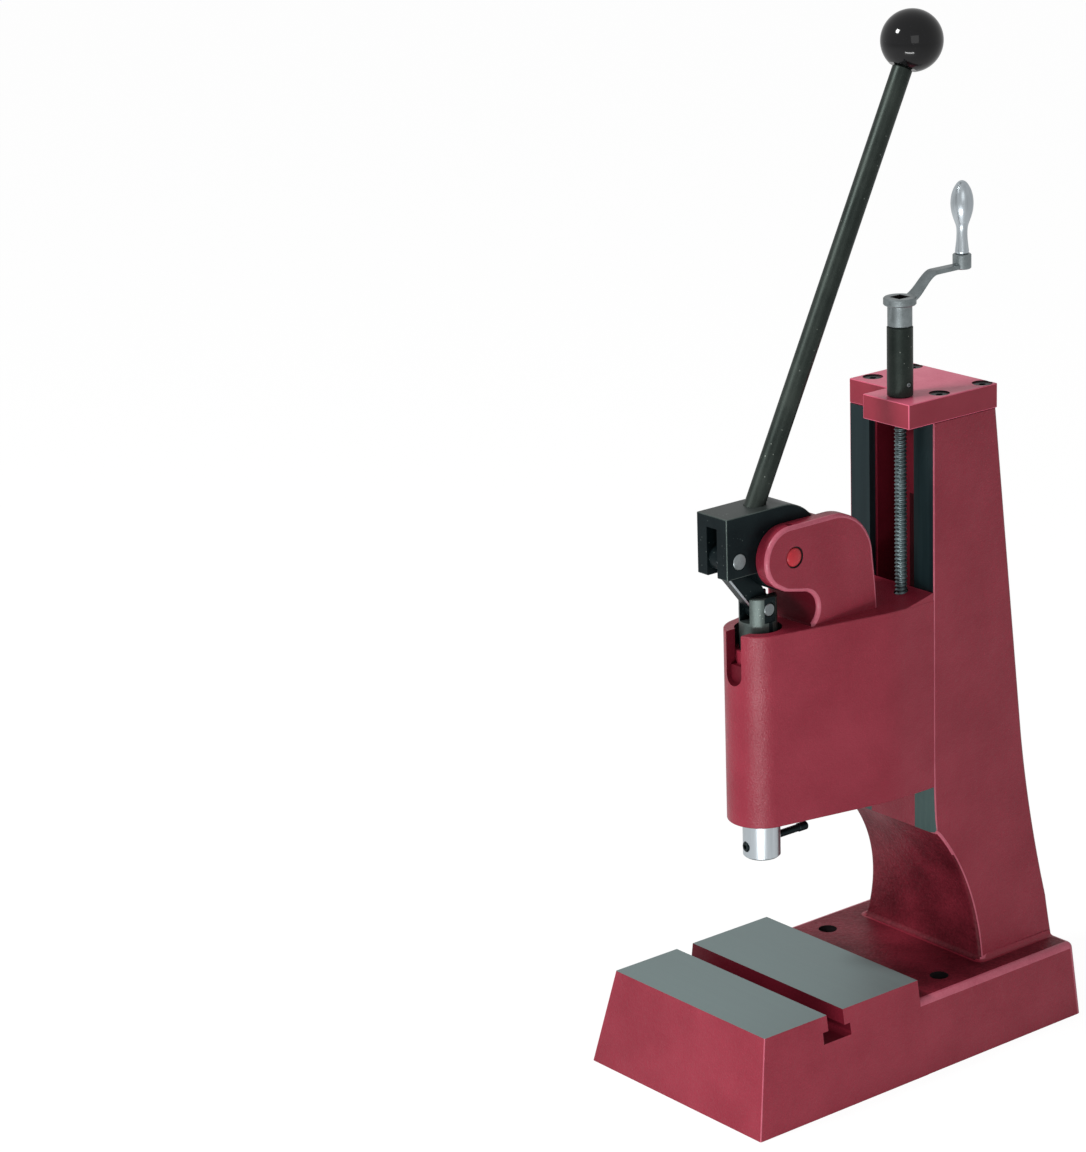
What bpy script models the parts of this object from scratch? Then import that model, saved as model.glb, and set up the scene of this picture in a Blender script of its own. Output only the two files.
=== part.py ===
"""Toggle press with a height-adjustable head, built as an assembly of separate pieces.

Sizes are in metres. Every place is measured from the base's front bottom edge,
with X across the machine, Y towards the column and Z up. The whole assembly hangs
on one empty that moves the middle of the base's footprint to the origin.
"""
import math

import bmesh
import bpy
from mathutils import Matrix, Vector

# Clearances and shared values
GAP = 0.0003
OVERRUN = 0.004
EMBED = 0.003
WELD = 0.00001
SKIN = 0.0002
FINE_SIDES = 48
SIDES = 32
SMALL_SIDES = 20
ARC_STEPS = 12
SMOOTH_ANGLE = math.radians(32)

# Base casting
BASE_HALF = 0.095
BASE_LENGTH = 0.333
TABLE_Z = 0.0726
TABLE_LENGTH = 0.168
SIDE_DRAFT = 0.0115
FRONT_DRAFT = 0.0155
DECK_Z = 0.0566
DECK_EDGE = 0.004
SLOT_Y = 0.084
SLOT_NECK = 0.016
SLOT_NECK_DEPTH = 0.0118
SLOT_FOOT = 0.027
SLOT_FOOT_HEIGHT = 0.0088
BOLT_HOLE_X = 0.0615
BOLT_HOLE_Y = 0.212
BOLT_HOLE_RADIUS = 0.0072

# Column, part of the same casting
COLUMN_HALF = 0.0445
COLUMN_FRONT = 0.224
COLUMN_TOP = 0.4817
COLUMN_TOP_DEPTH = 0.065
LEAN_FOOT_Z = 0.0835
ARCH_TOP_Z = 0.163
ARCH_MIDDLE_Z = 0.076
ARCH_DEPTH = 0.031
FLARE_TOP_Z = 0.23
FLARE_WIDTH = 0.019
COLUMN_ROOT = 0.015
GUIDE_HALF = 0.0235
GUIDE_DEPTH = 0.006
CHANNEL_HALF = 0.0215
CHANNEL_DEPTH = 0.024
CHANNEL_BOTTOM_Z = 0.198
WEB_THICKNESS = 0.01
WEB_SLOT_HALF = 0.0056
POCKET_HALF = 0.029
POCKET_BOTTOM_Z = 0.15
POCKET_TOP_Z = 0.432

# Top plate and its screws
PLATE_THICKNESS = 0.0186
PLATE_EDGE = 0.001
TONGUE_FRONT = 0.199
TONGUE_LEFT = -0.0036
SCREW_FRONT_X = 0.035
SCREW_FRONT_Y = 0.239
SCREW_REAR_X = 0.0365
SCREW_REAR_Y = 0.2815
SCREW_HEAD_RADIUS = 0.0074
SCREW_RADIUS = 0.004
SCREW_LENGTH = 0.034
SCREW_SINK = 0.0008
SCREW_SOCKET_RADIUS = 0.0029
SCREW_SOCKET_DEPTH = 0.003

# Height spindle with its bush and sleeve
SPINDLE_X = 0.02
SPINDLE_Y = 0.214
SPINDLE_RADIUS = 0.0047
SPINDLE_BOTTOM_Z = 0.285
SPINDLE_TOP_Z = 0.564
BUSH_RADIUS = 0.0075
SLEEVE_RADIUS = 0.0096
SLEEVE_TOP_Z = 0.5527
SLEEVE_SCREW_RISE = 0.0095
SLEEVE_SCREW_RADIUS = 0.0018

# Crank with its machine handle
HUB_RADIUS = 0.0091
HUB_FLANGE_Z = 0.5685
HUB_TOP_Z = 0.5742
FLANGE_RADIUS = 0.0121
SQUARE_HALF = 0.0055
SQUARE_DEPTH = 0.0055
CRANK_REACH = 0.063
ARM_HALF = 0.005
ARM_THICKNESS = 0.0036
ARM_CLIMB_SHARE = 0.5
BOSS_BOTTOM_Z = 0.585
BOSS_TOP_Z = 0.596
BOSS_RADIUS = 0.0069
HANDLE_HEIGHT = 0.054
HANDLE_NECK_RADIUS = 0.004
HANDLE_BULB_RADIUS = 0.0084
HANDLE_PIN_RADIUS = 0.0022
HANDLE_BORE_DEPTH = 0.04

# Head casting
RAM_Y = 0.09
NOSE_RADIUS = 0.0253
HEAD_BOTTOM_Z = 0.2
HEAD_TOP_Z = 0.3476
BEND_Y = 0.184
SHOULDER_RISE = 0.0055
KEY_BOTTOM_Z = 0.232
NOSE_SLOT_HALF = 0.008
NOSE_SLOT_BOTTOM_Z = 0.308
POCKET_RADIUS = 0.0175

# Ears that hold the lever
EAR_OUTER = 0.028
EAR_INNER = 0.0165
EAR_RADIUS = 0.0235
EAR_LEAD = 0.0036
EAR_EDGE = 0.0018
EAR_BACK_RADIUS = 0.039
EAR_BACK_Y = 0.14
EAR_HEEL_Y = 0.1822
EAR_FOOT_Y = 0.1835
WEB_SLOPE_TOP_Y = 0.108
WEB_SLOPE_LOW_Y = 0.165
WEB_SLOPE_LOW_Z = 0.404
NOTCH_RADIUS = 0.0143
NOTCH_Y = 0.1093
NOTCH_Z = 0.361
NOTCH_LIP_Y = 0.0934
NOTCH_LIP_Z = 0.379

# Toggle geometry: pivot, crank radius and link
PIVOT_Y = 0.1013
PIVOT_Z = 0.4035
THROW = 0.042
THROW_LIFT = math.radians(4)
LINK_LENGTH = 0.053

# Lever block
BLOCK_HALF = 0.016
BLOCK_REACH = 0.054
BLOCK_DROP = 0.009
BLOCK_RADIUS = 0.0365
BLOCK_EDGE = 0.0012
LINK_HALF = 0.00515
BLOCK_MOUTH_Y = 0.062
BLOCK_MOUTH_Z = 0.431
BLOCK_SLOT_BACK_Y = 0.0863
BLOCK_SLOT_TOP_Z = 0.4246
EYE_RADIUS = 0.0265
EYE_SLOT_BACK_Y = 0.0935

# Lever rod and knob
LEVER_LEAN = math.radians(26.7)
LEVER_ENTRY_Y = 0.0886
LEVER_RADIUS = 0.0075
LEVER_SEAT = 0.012
LEVER_LENGTH = 0.3512
KNOB_RADIUS = 0.0228
KNOB_FACE_RADIUS = 0.0105
SPIGOT_RADIUS = 0.006
SPIGOT_LENGTH = 0.022

# Pins
PIVOT_PIN_RADIUS = 0.007
PIVOT_PIN_DOME = 0.0012
PIN_RING = 0.0011
TOGGLE_PIN_RADIUS = 0.006
TOGGLE_WAIST_RADIUS = 0.004
LINK_PIN_RADIUS = 0.0048
EAR_SCREW_RADIUS = 0.0025
EAR_SCREW_LENGTH = 0.011
EAR_SCREW_SINK = 0.001

# Toggle link
LINK_TOP_RADIUS = 0.011
LINK_FOOT_RADIUS = 0.0093
LINK_PATH_CLEARANCE = 0.0005
PATH_STEPS = 16

# Ram and what it carries
RAM_RADIUS = 0.014
RAM_BOTTOM_Z = 0.1705
RAM_CROWN = 0.0095
RAM_FLAT_HALF = 0.013
RAM_FLAT_LENGTH = 0.019
TOOL_BORE_RADIUS = 0.005
TOOL_BORE_DEPTH = 0.025
TOOL_SCREW_RISE = 0.009
TOOL_SCREW_RADIUS = 0.0038
TOOL_SCREW_PROUD = 0.0008
TOOL_SCREW_AZIMUTH = math.radians(-98)
REAR_PIN_RISE = 0.0113
REAR_PIN_RADIUS = 0.0033
REAR_PIN_REACH = 0.0445
REAR_PIN_SEAT = 0.006
RAM_EDGE = 0.001

# Bushes, spring and collar inside the head
LOWER_BUSH_LENGTH = 0.04
RELIEF_RADIUS = 0.0185
UPPER_BUSH_DROP = 0.0156
UPPER_BUSH_LENGTH = 0.01
UPPER_BUSH_RADIUS = 0.017
COLLAR_SPACE = 0.002
COLLAR_THICKNESS = 0.0022
COLLAR_RADIUS = 0.0177
GROOVE_DEPTH = 0.0009
SPRING_WIRE = 0.0025
SPRING_RADIUS = 0.0163
SPRING_TURNS = 7
TURN_POINTS = 10

# Spindle nut and head clamp
NUT_HALF_WIDTH = 0.012
NUT_FRONT_Y = 0.2035
NUT_BOTTOM_Z = 0.31
NUT_HEIGHT = 0.032
STUD_Z = (0.235, 0.318)
STUD_RADIUS = 0.005
STUD_SEAT = 0.025
STUD_TIP = 0.0035
KEEPER_HALF = 0.02
KEEPER_MARGIN = 0.017
KEEPER_THICKNESS = 0.009
WASHER_RADIUS = 0.01
WASHER_THICKNESS = 0.002
HEX_RADIUS = 0.0098
HEX_HEIGHT = 0.008

# How each surface looks: colour, roughness and metallic share
WINE_PAINT = ((0.22, 0.022, 0.045, 1.0), 0.45, 0.0)
BLACKENED = ((0.03, 0.04, 0.04, 1.0), 0.4, 0.6)
BRIGHT_STEEL = ((0.6, 0.62, 0.64, 1.0), 0.28, 1.0)
BRONZE = ((0.5, 0.33, 0.14, 1.0), 0.35, 1.0)
SPRING_STEEL = ((0.25, 0.26, 0.28, 1.0), 0.35, 1.0)
BLACK_PLASTIC = ((0.01, 0.01, 0.011, 1.0), 0.15, 0.0)

# Directions
X_AXIS = Vector((1, 0, 0))
Y_AXIS = Vector((0, 1, 0))
Z_AXIS = Vector((0, 0, 1))
PLAN = Matrix.Identity(4)
SIDE = Matrix(((0, 0, 1, 0), (1, 0, 0, 0), (0, 1, 0, 0), (0, 0, 0, 1)))
FRONT = Matrix(((1, 0, 0, 0), (0, 0, -1, 0), (0, 1, 0, 0), (0, 0, 0, 1)))


def clear_scene():
    """Remove whatever the scene holds."""
    for old in list(bpy.data.objects):
        bpy.data.objects.remove(old, do_unlink=True)


def new_collection(name):
    collection = bpy.data.collections.new(name)
    bpy.context.scene.collection.children.link(collection)
    return collection


def carrier(name, point, parent=None, parent_point=(0, 0, 0)):
    """An empty on a joint's axis, for the pieces that move with it."""
    empty = bpy.data.objects.new(name, None)
    PARTS.objects.link(empty)
    empty.parent = parent
    empty.location = Vector(point) - Vector(parent_point)
    return empty


def tool(mesh, matrix=Matrix.Identity(4)):
    """A shape that cuts or joins others until it is made a part."""
    obj = bpy.data.objects.new("tool", mesh)
    CUTTERS.objects.link(obj)
    obj.hide_render = True
    obj.display_type = "WIRE"
    obj.parent = ROOT
    obj.matrix_basis = matrix
    return obj


def round_shading(mesh):
    mesh.shade_smooth()
    mesh.set_sharp_from_angle(angle=SMOOTH_ANGLE)


def box(low, high):
    low, high = Vector(low), Vector(high)
    shape = bmesh.new()
    bmesh.ops.create_cube(shape, size=1)
    bmesh.ops.scale(shape, vec=high - low, verts=shape.verts)
    mesh = bpy.data.meshes.new("box")
    shape.to_mesh(mesh)
    shape.free()
    return tool(mesh, Matrix.Translation((low + high) / 2))


def drafted_box(low, high, side_draft, front_draft):
    """A box whose sides and front lean inwards towards its top."""
    block = box(low, high)
    for vertex in block.data.vertices:
        if vertex.co.z > 0:
            vertex.co.x -= math.copysign(side_draft, vertex.co.x)
            if vertex.co.y < 0:
                vertex.co.y += front_draft
    return block


def bar(start, end, radius, sides=SIDES):
    """A round bar between two points."""
    start, end = Vector(start), Vector(end)
    along = end - start
    shape = bmesh.new()
    bmesh.ops.create_cone(shape, cap_ends=True, segments=sides, radius1=radius, radius2=radius,
                          depth=along.length)
    mesh = bpy.data.meshes.new("bar")
    shape.to_mesh(mesh)
    shape.free()
    round_shading(mesh)
    turn = along.to_track_quat("Z", "Y").to_matrix().to_4x4()
    return tool(mesh, Matrix.Translation((start + end) / 2) @ turn)


def turned(profile, place, axis=Z_AXIS, sides=SIDES, closed=False):
    """Turn a profile of (radius, height) points, given top first, about an axis."""
    edges = [(i, i + 1) for i in range(len(profile) - 1)]
    if closed:
        edges.append((len(profile) - 1, 0))
    mesh = bpy.data.meshes.new("turned")
    mesh.from_pydata([(radius, 0, height) for radius, height in profile], edges, [])
    turn = axis.to_track_quat("Z", "Y").to_matrix().to_4x4()
    obj = tool(mesh, Matrix.Translation(place) @ turn)
    screw = obj.modifiers.new("Turn", "SCREW")
    screw.axis = "Z"
    screw.steps = screw.render_steps = sides
    screw.use_merge_vertices = True
    screw.merge_threshold = WELD
    screw.use_smooth_shade = True
    return obj


def ring(inner, outer, bottom, top, place, axis=Z_AXIS, sides=SIDES):
    profile = [(outer, top), (outer, bottom), (inner, bottom), (inner, top)]
    return turned(profile, place, axis, sides, closed=True)


def plate(outline, half, lie, place=(0, 0, 0)):
    """A flat outline extruded by half its thickness each way."""
    curve = bpy.data.curves.new("outline", "CURVE")
    curve.dimensions = "2D"
    curve.fill_mode = "BOTH"
    curve.extrude = half
    spline = curve.splines.new("POLY")
    spline.points.add(len(outline) - 1)
    for point, (across, up) in zip(spline.points, outline):
        point.co = (across, up, 0, 1)
    spline.use_cyclic_u = True
    drawn = bpy.data.objects.new("outline", curve)
    CUTTERS.objects.link(drawn)
    seen = drawn.evaluated_get(bpy.context.evaluated_depsgraph_get())
    mesh = bpy.data.meshes.new_from_object(seen)
    bpy.data.objects.remove(drawn, do_unlink=True)
    shape = bmesh.new()
    shape.from_mesh(mesh)
    bmesh.ops.remove_doubles(shape, verts=shape.verts, dist=WELD)
    bmesh.ops.recalc_face_normals(shape, faces=shape.faces)
    shape.to_mesh(mesh)
    shape.free()
    round_shading(mesh)
    return tool(mesh, Matrix.Translation(place) @ lie)


def arc(middle, radius, start, end, steps=ARC_STEPS):
    """Points on an arc, with angles in degrees."""
    points = []
    for step in range(steps + 1):
        angle = math.radians(start + (end - start) * step / steps)
        points.append((middle[0] + radius * math.cos(angle), middle[1] + radius * math.sin(angle)))
    return points


def boolean(target, others, operation):
    for other in others:
        modifier = target.modifiers.new(operation.title(), "BOOLEAN")
        modifier.operation = operation
        modifier.solver = "EXACT"
        modifier.object = other
    return target


def cut(target, *others):
    return boolean(target, others, "DIFFERENCE")


def fuse(target, *others):
    return boolean(target, others, "UNION")


def bevel(obj, width, segments=2):
    modifier = obj.modifiers.new("Edge", "BEVEL")
    modifier.width = width
    modifier.segments = segments
    modifier.limit_method = "ANGLE"
    modifier.angle_limit = SMOOTH_ANGLE
    return obj


def round_top(obj, width, segments=2):
    """Round only the edges that lie above the middle of a box."""
    shape = bmesh.new()
    shape.from_mesh(obj.data)
    top = [edge for edge in shape.edges if min(vertex.co.z for vertex in edge.verts) > 0]
    bmesh.ops.bevel(shape, geom=top, offset=width, segments=segments, profile=0.5, affect="EDGES")
    shape.to_mesh(obj.data)
    shape.free()
    return obj


def part(name, obj, look, carried_by, carried_at=(0, 0, 0)):
    """Make a shape a part of the press, carried by one of its bodies."""
    CUTTERS.objects.unlink(obj)
    PARTS.objects.link(obj)
    obj.name = name
    obj.data.name = name
    obj.hide_render = False
    obj.display_type = "TEXTURED"
    obj.parent = carried_by
    obj.matrix_parent_inverse = Matrix.Translation(-Vector(carried_at))
    colour, roughness, metallic = look
    material = bpy.data.materials.new(name)
    material.use_nodes = True
    shader = material.node_tree.nodes["Principled BSDF"]
    shader.inputs["Base Color"].default_value = colour
    shader.inputs["Roughness"].default_value = roughness
    shader.inputs["Metallic"].default_value = metallic
    material.diffuse_color = colour
    obj.data.materials.clear()
    obj.data.materials.append(material)
    return obj


def turn_in_side_view(point, middle, angle):
    """Turn a (Y, Z) point about another, anticlockwise seen from +X."""
    y, z = point[0] - middle[0], point[1] - middle[1]
    return (middle[0] + y * math.cos(angle) - z * math.sin(angle),
            middle[1] + y * math.sin(angle) + z * math.cos(angle))


def toggle_point(swing):
    """Place of the toggle pin when the lever has swung by an angle."""
    angle = swing - THROW_LIFT
    return (PIVOT_Y - THROW * math.cos(angle), PIVOT_Z - THROW * math.sin(angle))


def link_foot(swing):
    """Place of the link's lower pin when the linkage is closed."""
    y, z = toggle_point(swing)
    return (RAM_Y, z - math.sqrt(LINK_LENGTH ** 2 - (RAM_Y - y) ** 2))


def link_angle(swing):
    top, foot = toggle_point(swing), link_foot(swing)
    return math.atan2(top[1] - foot[1], top[0] - foot[0])


TOGGLE = toggle_point(0)
FOOT = link_foot(0)
LEVER_SWING = math.acos((PIVOT_Y - RAM_Y) / (THROW + LINK_LENGTH)) + THROW_LIFT
RAM_STROKE = FOOT[1] - link_foot(LEVER_SWING)[1]
LINK_SWING = link_angle(LEVER_SWING) - link_angle(0)
RAM_TOP_Z = FOOT[1] + RAM_CROWN
HEAD_BACK = COLUMN_FRONT - GAP
WEB_FRONT = COLUMN_FRONT + CHANNEL_DEPTH
WEB_BACK = WEB_FRONT + WEB_THICKNESS
PLATE_BOTTOM_Z = COLUMN_TOP + GAP
PLATE_TOP_Z = PLATE_BOTTOM_Z + PLATE_THICKNESS
COLUMN_BACK = COLUMN_FRONT + COLUMN_TOP_DEPTH
SLOT_HALF = LINK_HALF + GAP
BLOCK_TOP_Z = PIVOT_Z + BLOCK_RADIUS
LOWER_BUSH_TOP_Z = HEAD_BOTTOM_Z + LOWER_BUSH_LENGTH
UPPER_BUSH_TOP_Z = HEAD_TOP_Z - UPPER_BUSH_DROP
UPPER_BUSH_BOTTOM_Z = UPPER_BUSH_TOP_Z - UPPER_BUSH_LENGTH
COLLAR_TOP_Z = UPPER_BUSH_BOTTOM_Z - COLLAR_SPACE
COLLAR_BOTTOM_Z = COLLAR_TOP_Z - COLLAR_THICKNESS


def toggle_pin_path():
    """Path of the toggle pin seen from the link, which turns at a constant share of the lever."""
    path = []
    for step in range(PATH_STEPS + 1):
        share = step / PATH_STEPS
        y, z = toggle_point(LEVER_SWING * share)
        raised = (y, z + RAM_STROKE * share)
        path.append(turn_in_side_view(raised, FOOT, -LINK_SWING * share))
    return path


def base_casting():
    """Base with its table, T-slot and deck, and the column in one piece."""
    table = drafted_box((-BASE_HALF, 0, 0), (BASE_HALF, TABLE_LENGTH, TABLE_Z), SIDE_DRAFT, FRONT_DRAFT)
    deck_draft = SIDE_DRAFT * DECK_Z / TABLE_Z
    deck = drafted_box((SKIN - BASE_HALF, 2 * FRONT_DRAFT, 0), (BASE_HALF - SKIN, BASE_LENGTH, DECK_Z),
                       deck_draft, 0)
    round_top(deck, DECK_EDGE)
    fuse(table, deck, column())
    slot_neck_z = TABLE_Z - SLOT_NECK_DEPTH
    reach = BASE_HALF + OVERRUN
    neck = box((-reach, SLOT_Y - SLOT_NECK / 2, slot_neck_z - EMBED),
               (reach, SLOT_Y + SLOT_NECK / 2, TABLE_Z + OVERRUN))
    foot = box((-reach, SLOT_Y - SLOT_FOOT / 2, slot_neck_z - SLOT_FOOT_HEIGHT),
               (reach, SLOT_Y + SLOT_FOOT / 2, slot_neck_z))
    cut(table, foot, neck)
    for side in (-1, 1):
        x = side * BOLT_HOLE_X
        cut(table, bar((x, BOLT_HOLE_Y, -OVERRUN), (x, BOLT_HOLE_Y, DECK_Z + OVERRUN), BOLT_HOLE_RADIUS,
                       SMALL_SIDES))
    cut(table, *channel_cutters())
    for x, y in screw_places():
        cut(table, bar((x, y, PLATE_TOP_Z - SCREW_LENGTH - EMBED), (x, y, COLUMN_TOP + OVERRUN),
                       SCREW_RADIUS + GAP, SMALL_SIDES))
    part("frame_casting", table, WINE_PAINT, ROOT)


def column():
    """Column seen from the side, narrowed by two curved side cuts."""
    rise = ARCH_TOP_Z - ARCH_MIDDLE_Z
    radius = (ARCH_DEPTH ** 2 + rise ** 2) / (2 * ARCH_DEPTH)
    middle = (COLUMN_FRONT + ARCH_DEPTH - radius, ARCH_MIDDLE_Z)
    top_angle = math.degrees(math.asin(rise / radius))
    foot_z = DECK_Z - COLUMN_ROOT
    foot_angle = math.degrees(math.asin((foot_z - ARCH_MIDDLE_Z) / radius))
    back_foot = BASE_LENGTH - SKIN
    outline = [(COLUMN_FRONT, COLUMN_TOP)] + arc(middle, radius, top_angle, foot_angle)
    outline += [(back_foot, foot_z), (back_foot, LEAN_FOOT_Z), (COLUMN_BACK, COLUMN_TOP)]
    body = plate(outline, COLUMN_HALF + FLARE_WIDTH, SIDE)
    drop = FLARE_TOP_Z - DECK_Z
    flare_radius = (FLARE_WIDTH ** 2 + drop ** 2) / (2 * FLARE_WIDTH)
    reach = COLUMN_HALF + FLARE_WIDTH + OVERRUN
    low_angle = math.degrees(math.asin((drop + COLUMN_ROOT) / flare_radius))
    for side in (-1, 1):
        curve = [(COLUMN_HALF, COLUMN_TOP + OVERRUN)]
        curve += arc((COLUMN_HALF + flare_radius, FLARE_TOP_Z), flare_radius, 180, 180 + low_angle)
        curve += [(reach + FLARE_WIDTH, foot_z - OVERRUN), (reach + FLARE_WIDTH, COLUMN_TOP + OVERRUN)]
        middle_y = (COLUMN_FRONT + BASE_LENGTH) / 2
        cut(body, plate([(side * x, z) for x, z in curve], BASE_LENGTH / 2, FRONT, (0, middle_y, 0)))
    return body


def channel_cutters():
    """Guide channel in the column's front, slot in its web and pocket in its back."""
    top = COLUMN_TOP + OVERRUN
    guide = box((-GUIDE_HALF, COLUMN_FRONT - OVERRUN, CHANNEL_BOTTOM_Z),
                (GUIDE_HALF, COLUMN_FRONT + GUIDE_DEPTH, top))
    channel = box((-CHANNEL_HALF, COLUMN_FRONT, CHANNEL_BOTTOM_Z), (CHANNEL_HALF, WEB_FRONT, top))
    low, high = POCKET_BOTTOM_Z, POCKET_TOP_Z
    pocket = box((-POCKET_HALF, WEB_BACK, low), (POCKET_HALF, BASE_LENGTH + OVERRUN, high))
    slot_low = CHANNEL_BOTTOM_Z - EMBED
    slot_high = POCKET_TOP_Z - KEEPER_MARGIN
    slot = box((-WEB_SLOT_HALF, WEB_FRONT - OVERRUN, slot_low),
               (WEB_SLOT_HALF, WEB_BACK + OVERRUN, slot_high))
    return guide, channel, bevel(pocket, EMBED), slot


def screw_places():
    front = [(side * SCREW_FRONT_X, SCREW_FRONT_Y) for side in (-1, 1)]
    rear = [(side * SCREW_REAR_X, SCREW_REAR_Y) for side in (-1, 1)]
    return front + rear


def countersunk(extra):
    """Profile of a countersunk screw from its top, grown on every side for its hole."""
    head, shank = SCREW_HEAD_RADIUS + extra, SCREW_RADIUS + extra
    cone = -SCREW_SINK - (SCREW_HEAD_RADIUS - SCREW_RADIUS)
    top = OVERRUN if extra else -SCREW_SINK
    profile = [(0, top), (head, top)]
    if extra:
        profile.append((head, -SCREW_SINK))
    return profile + [(shank, cone), (shank, -SCREW_LENGTH - extra), (0, -SCREW_LENGTH - extra)]


def top_plate():
    """Plate over the column, with a tongue that carries the spindle."""
    back = COLUMN_BACK + GAP
    outline = [(-COLUMN_HALF, COLUMN_FRONT), (TONGUE_LEFT, COLUMN_FRONT), (TONGUE_LEFT, TONGUE_FRONT),
               (COLUMN_HALF, TONGUE_FRONT), (COLUMN_HALF, back), (-COLUMN_HALF, back)]
    middle = (PLATE_BOTTOM_Z + PLATE_TOP_Z) / 2
    slab = bevel(plate(outline, PLATE_THICKNESS / 2, PLAN, (0, 0, middle)), PLATE_EDGE, 1)
    cut(slab, bar((SPINDLE_X, SPINDLE_Y, PLATE_BOTTOM_Z - OVERRUN),
                  (SPINDLE_X, SPINDLE_Y, PLATE_TOP_Z + OVERRUN), BUSH_RADIUS + GAP))
    for x, y in screw_places():
        cut(slab, turned(countersunk(GAP), (x, y, PLATE_TOP_Z), sides=SMALL_SIDES))
    part("top_plate", slab, WINE_PAINT, ROOT)


def plate_screws():
    for number, (x, y) in enumerate(screw_places(), start=1):
        screw = turned(countersunk(0), (x, y, PLATE_TOP_Z), sides=SMALL_SIDES)
        top = PLATE_TOP_Z - SCREW_SINK
        cut(screw, bar((x, y, top - SCREW_SOCKET_DEPTH), (x, y, top + OVERRUN), SCREW_SOCKET_RADIUS, 6))
        part(f"plate_screw_{number}", screw, BLACKENED, ROOT)


def spindle_bush():
    place = (SPINDLE_X, SPINDLE_Y, PLATE_BOTTOM_Z)
    bush = ring(SPINDLE_RADIUS + GAP, BUSH_RADIUS, 0, PLATE_THICKNESS, place)
    part("spindle_bush", bush, BRONZE, ROOT)


def spindle_group():
    """Threaded spindle and the sleeve that is fixed to it above the plate."""
    place = (SPINDLE_X, SPINDLE_Y, 0)
    carried = (SPINDLE, SPINDLE_PLACE)
    shaft = bar((SPINDLE_X, SPINDLE_Y, SPINDLE_BOTTOM_Z), (SPINDLE_X, SPINDLE_Y, SPINDLE_TOP_Z),
                SPINDLE_RADIUS)
    screw_z = PLATE_TOP_Z + SLEEVE_SCREW_RISE
    sleeve = ring(SPINDLE_RADIUS + GAP, SLEEVE_RADIUS, PLATE_TOP_Z + GAP, SLEEVE_TOP_Z, place)
    tip = SPINDLE_X + SPINDLE_RADIUS + GAP
    rim = SPINDLE_X + SLEEVE_RADIUS
    cut(sleeve, bar((SPINDLE_X + SPINDLE_RADIUS, SPINDLE_Y, screw_z),
                    (rim + OVERRUN, SPINDLE_Y, screw_z), SLEEVE_SCREW_RADIUS + GAP, SMALL_SIDES))
    screw = bar((tip, SPINDLE_Y, screw_z), (rim - GAP, SPINDLE_Y, screw_z), SLEEVE_SCREW_RADIUS,
                SMALL_SIDES)
    part("height_spindle", shaft, BRIGHT_STEEL, *carried)
    part("spindle_sleeve", sleeve, BLACKENED, *carried)
    part("sleeve_set_screw", screw, BRIGHT_STEEL, *carried)


def crank_group():
    """Hub, rising arm and boss in one piece, with the handle on its pin."""
    hub = turned([(0, HUB_TOP_Z), (FLANGE_RADIUS, HUB_TOP_Z), (FLANGE_RADIUS, HUB_FLANGE_Z),
                  (HUB_RADIUS, HUB_FLANGE_Z), (HUB_RADIUS, SLEEVE_TOP_Z + GAP), (0, SLEEVE_TOP_Z + GAP)],
                 (SPINDLE_X, SPINDLE_Y, 0))
    end = (SPINDLE_X, SPINDLE_Y + CRANK_REACH)
    fuse(hub, plate(arm_outline(), ARM_HALF, SIDE, (SPINDLE_X, SPINDLE_Y, 0)))
    fuse(hub, bar((*end, BOSS_BOTTOM_Z), (*end, BOSS_TOP_Z), BOSS_RADIUS))
    cut(hub, bar((SPINDLE_X, SPINDLE_Y, SLEEVE_TOP_Z - OVERRUN),
                 (SPINDLE_X, SPINDLE_Y, SPINDLE_TOP_Z + GAP), SPINDLE_RADIUS + GAP))
    cut(hub, box((SPINDLE_X - SQUARE_HALF, SPINDLE_Y - SQUARE_HALF, HUB_TOP_Z - SQUARE_DEPTH),
                 (SPINDLE_X + SQUARE_HALF, SPINDLE_Y + SQUARE_HALF, HUB_TOP_Z + OVERRUN)))
    pin_bottom = BOSS_BOTTOM_Z + EMBED
    pin_top = BOSS_TOP_Z + HANDLE_BORE_DEPTH - EMBED
    cut(hub, bar((*end, pin_bottom - GAP), (*end, BOSS_TOP_Z + OVERRUN), HANDLE_PIN_RADIUS + GAP,
                 SMALL_SIDES))
    pin = bar((*end, pin_bottom), (*end, pin_top), HANDLE_PIN_RADIUS, SMALL_SIDES)
    grip = turned(handle_profile(), (*end, BOSS_TOP_Z + GAP), sides=SIDES)
    cut(grip, bar((*end, BOSS_TOP_Z - OVERRUN), (*end, BOSS_TOP_Z + HANDLE_BORE_DEPTH),
                  HANDLE_PIN_RADIUS + GAP, SMALL_SIDES))
    part("crank_arm", hub, BRIGHT_STEEL, CRANK, SPINDLE_PLACE)
    part("handle_pin", pin, BRIGHT_STEEL, CRANK, SPINDLE_PLACE)
    part("crank_handle", grip, BRIGHT_STEEL, HANDLE, HANDLE_PLACE)


def arm_outline():
    """Side of the crank's arm, which climbs from the flange and then runs level to the boss."""
    start, end = SPINDLE_RADIUS + OVERRUN, CRANK_REACH - EMBED
    low, high = HUB_TOP_Z - ARM_THICKNESS - SKIN, BOSS_BOTTOM_Z + SKIN
    lower = []
    for step in range(ARC_STEPS + 1):
        climb = step / ARC_STEPS
        rise = climb * climb * (3 - 2 * climb)
        lower.append((start + (end - start) * ARM_CLIMB_SHARE * climb, low + (high - low) * rise))
    lower.append((end, high))
    return lower + [(reach, z + ARM_THICKNESS) for reach, z in lower[::-1]]


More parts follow.
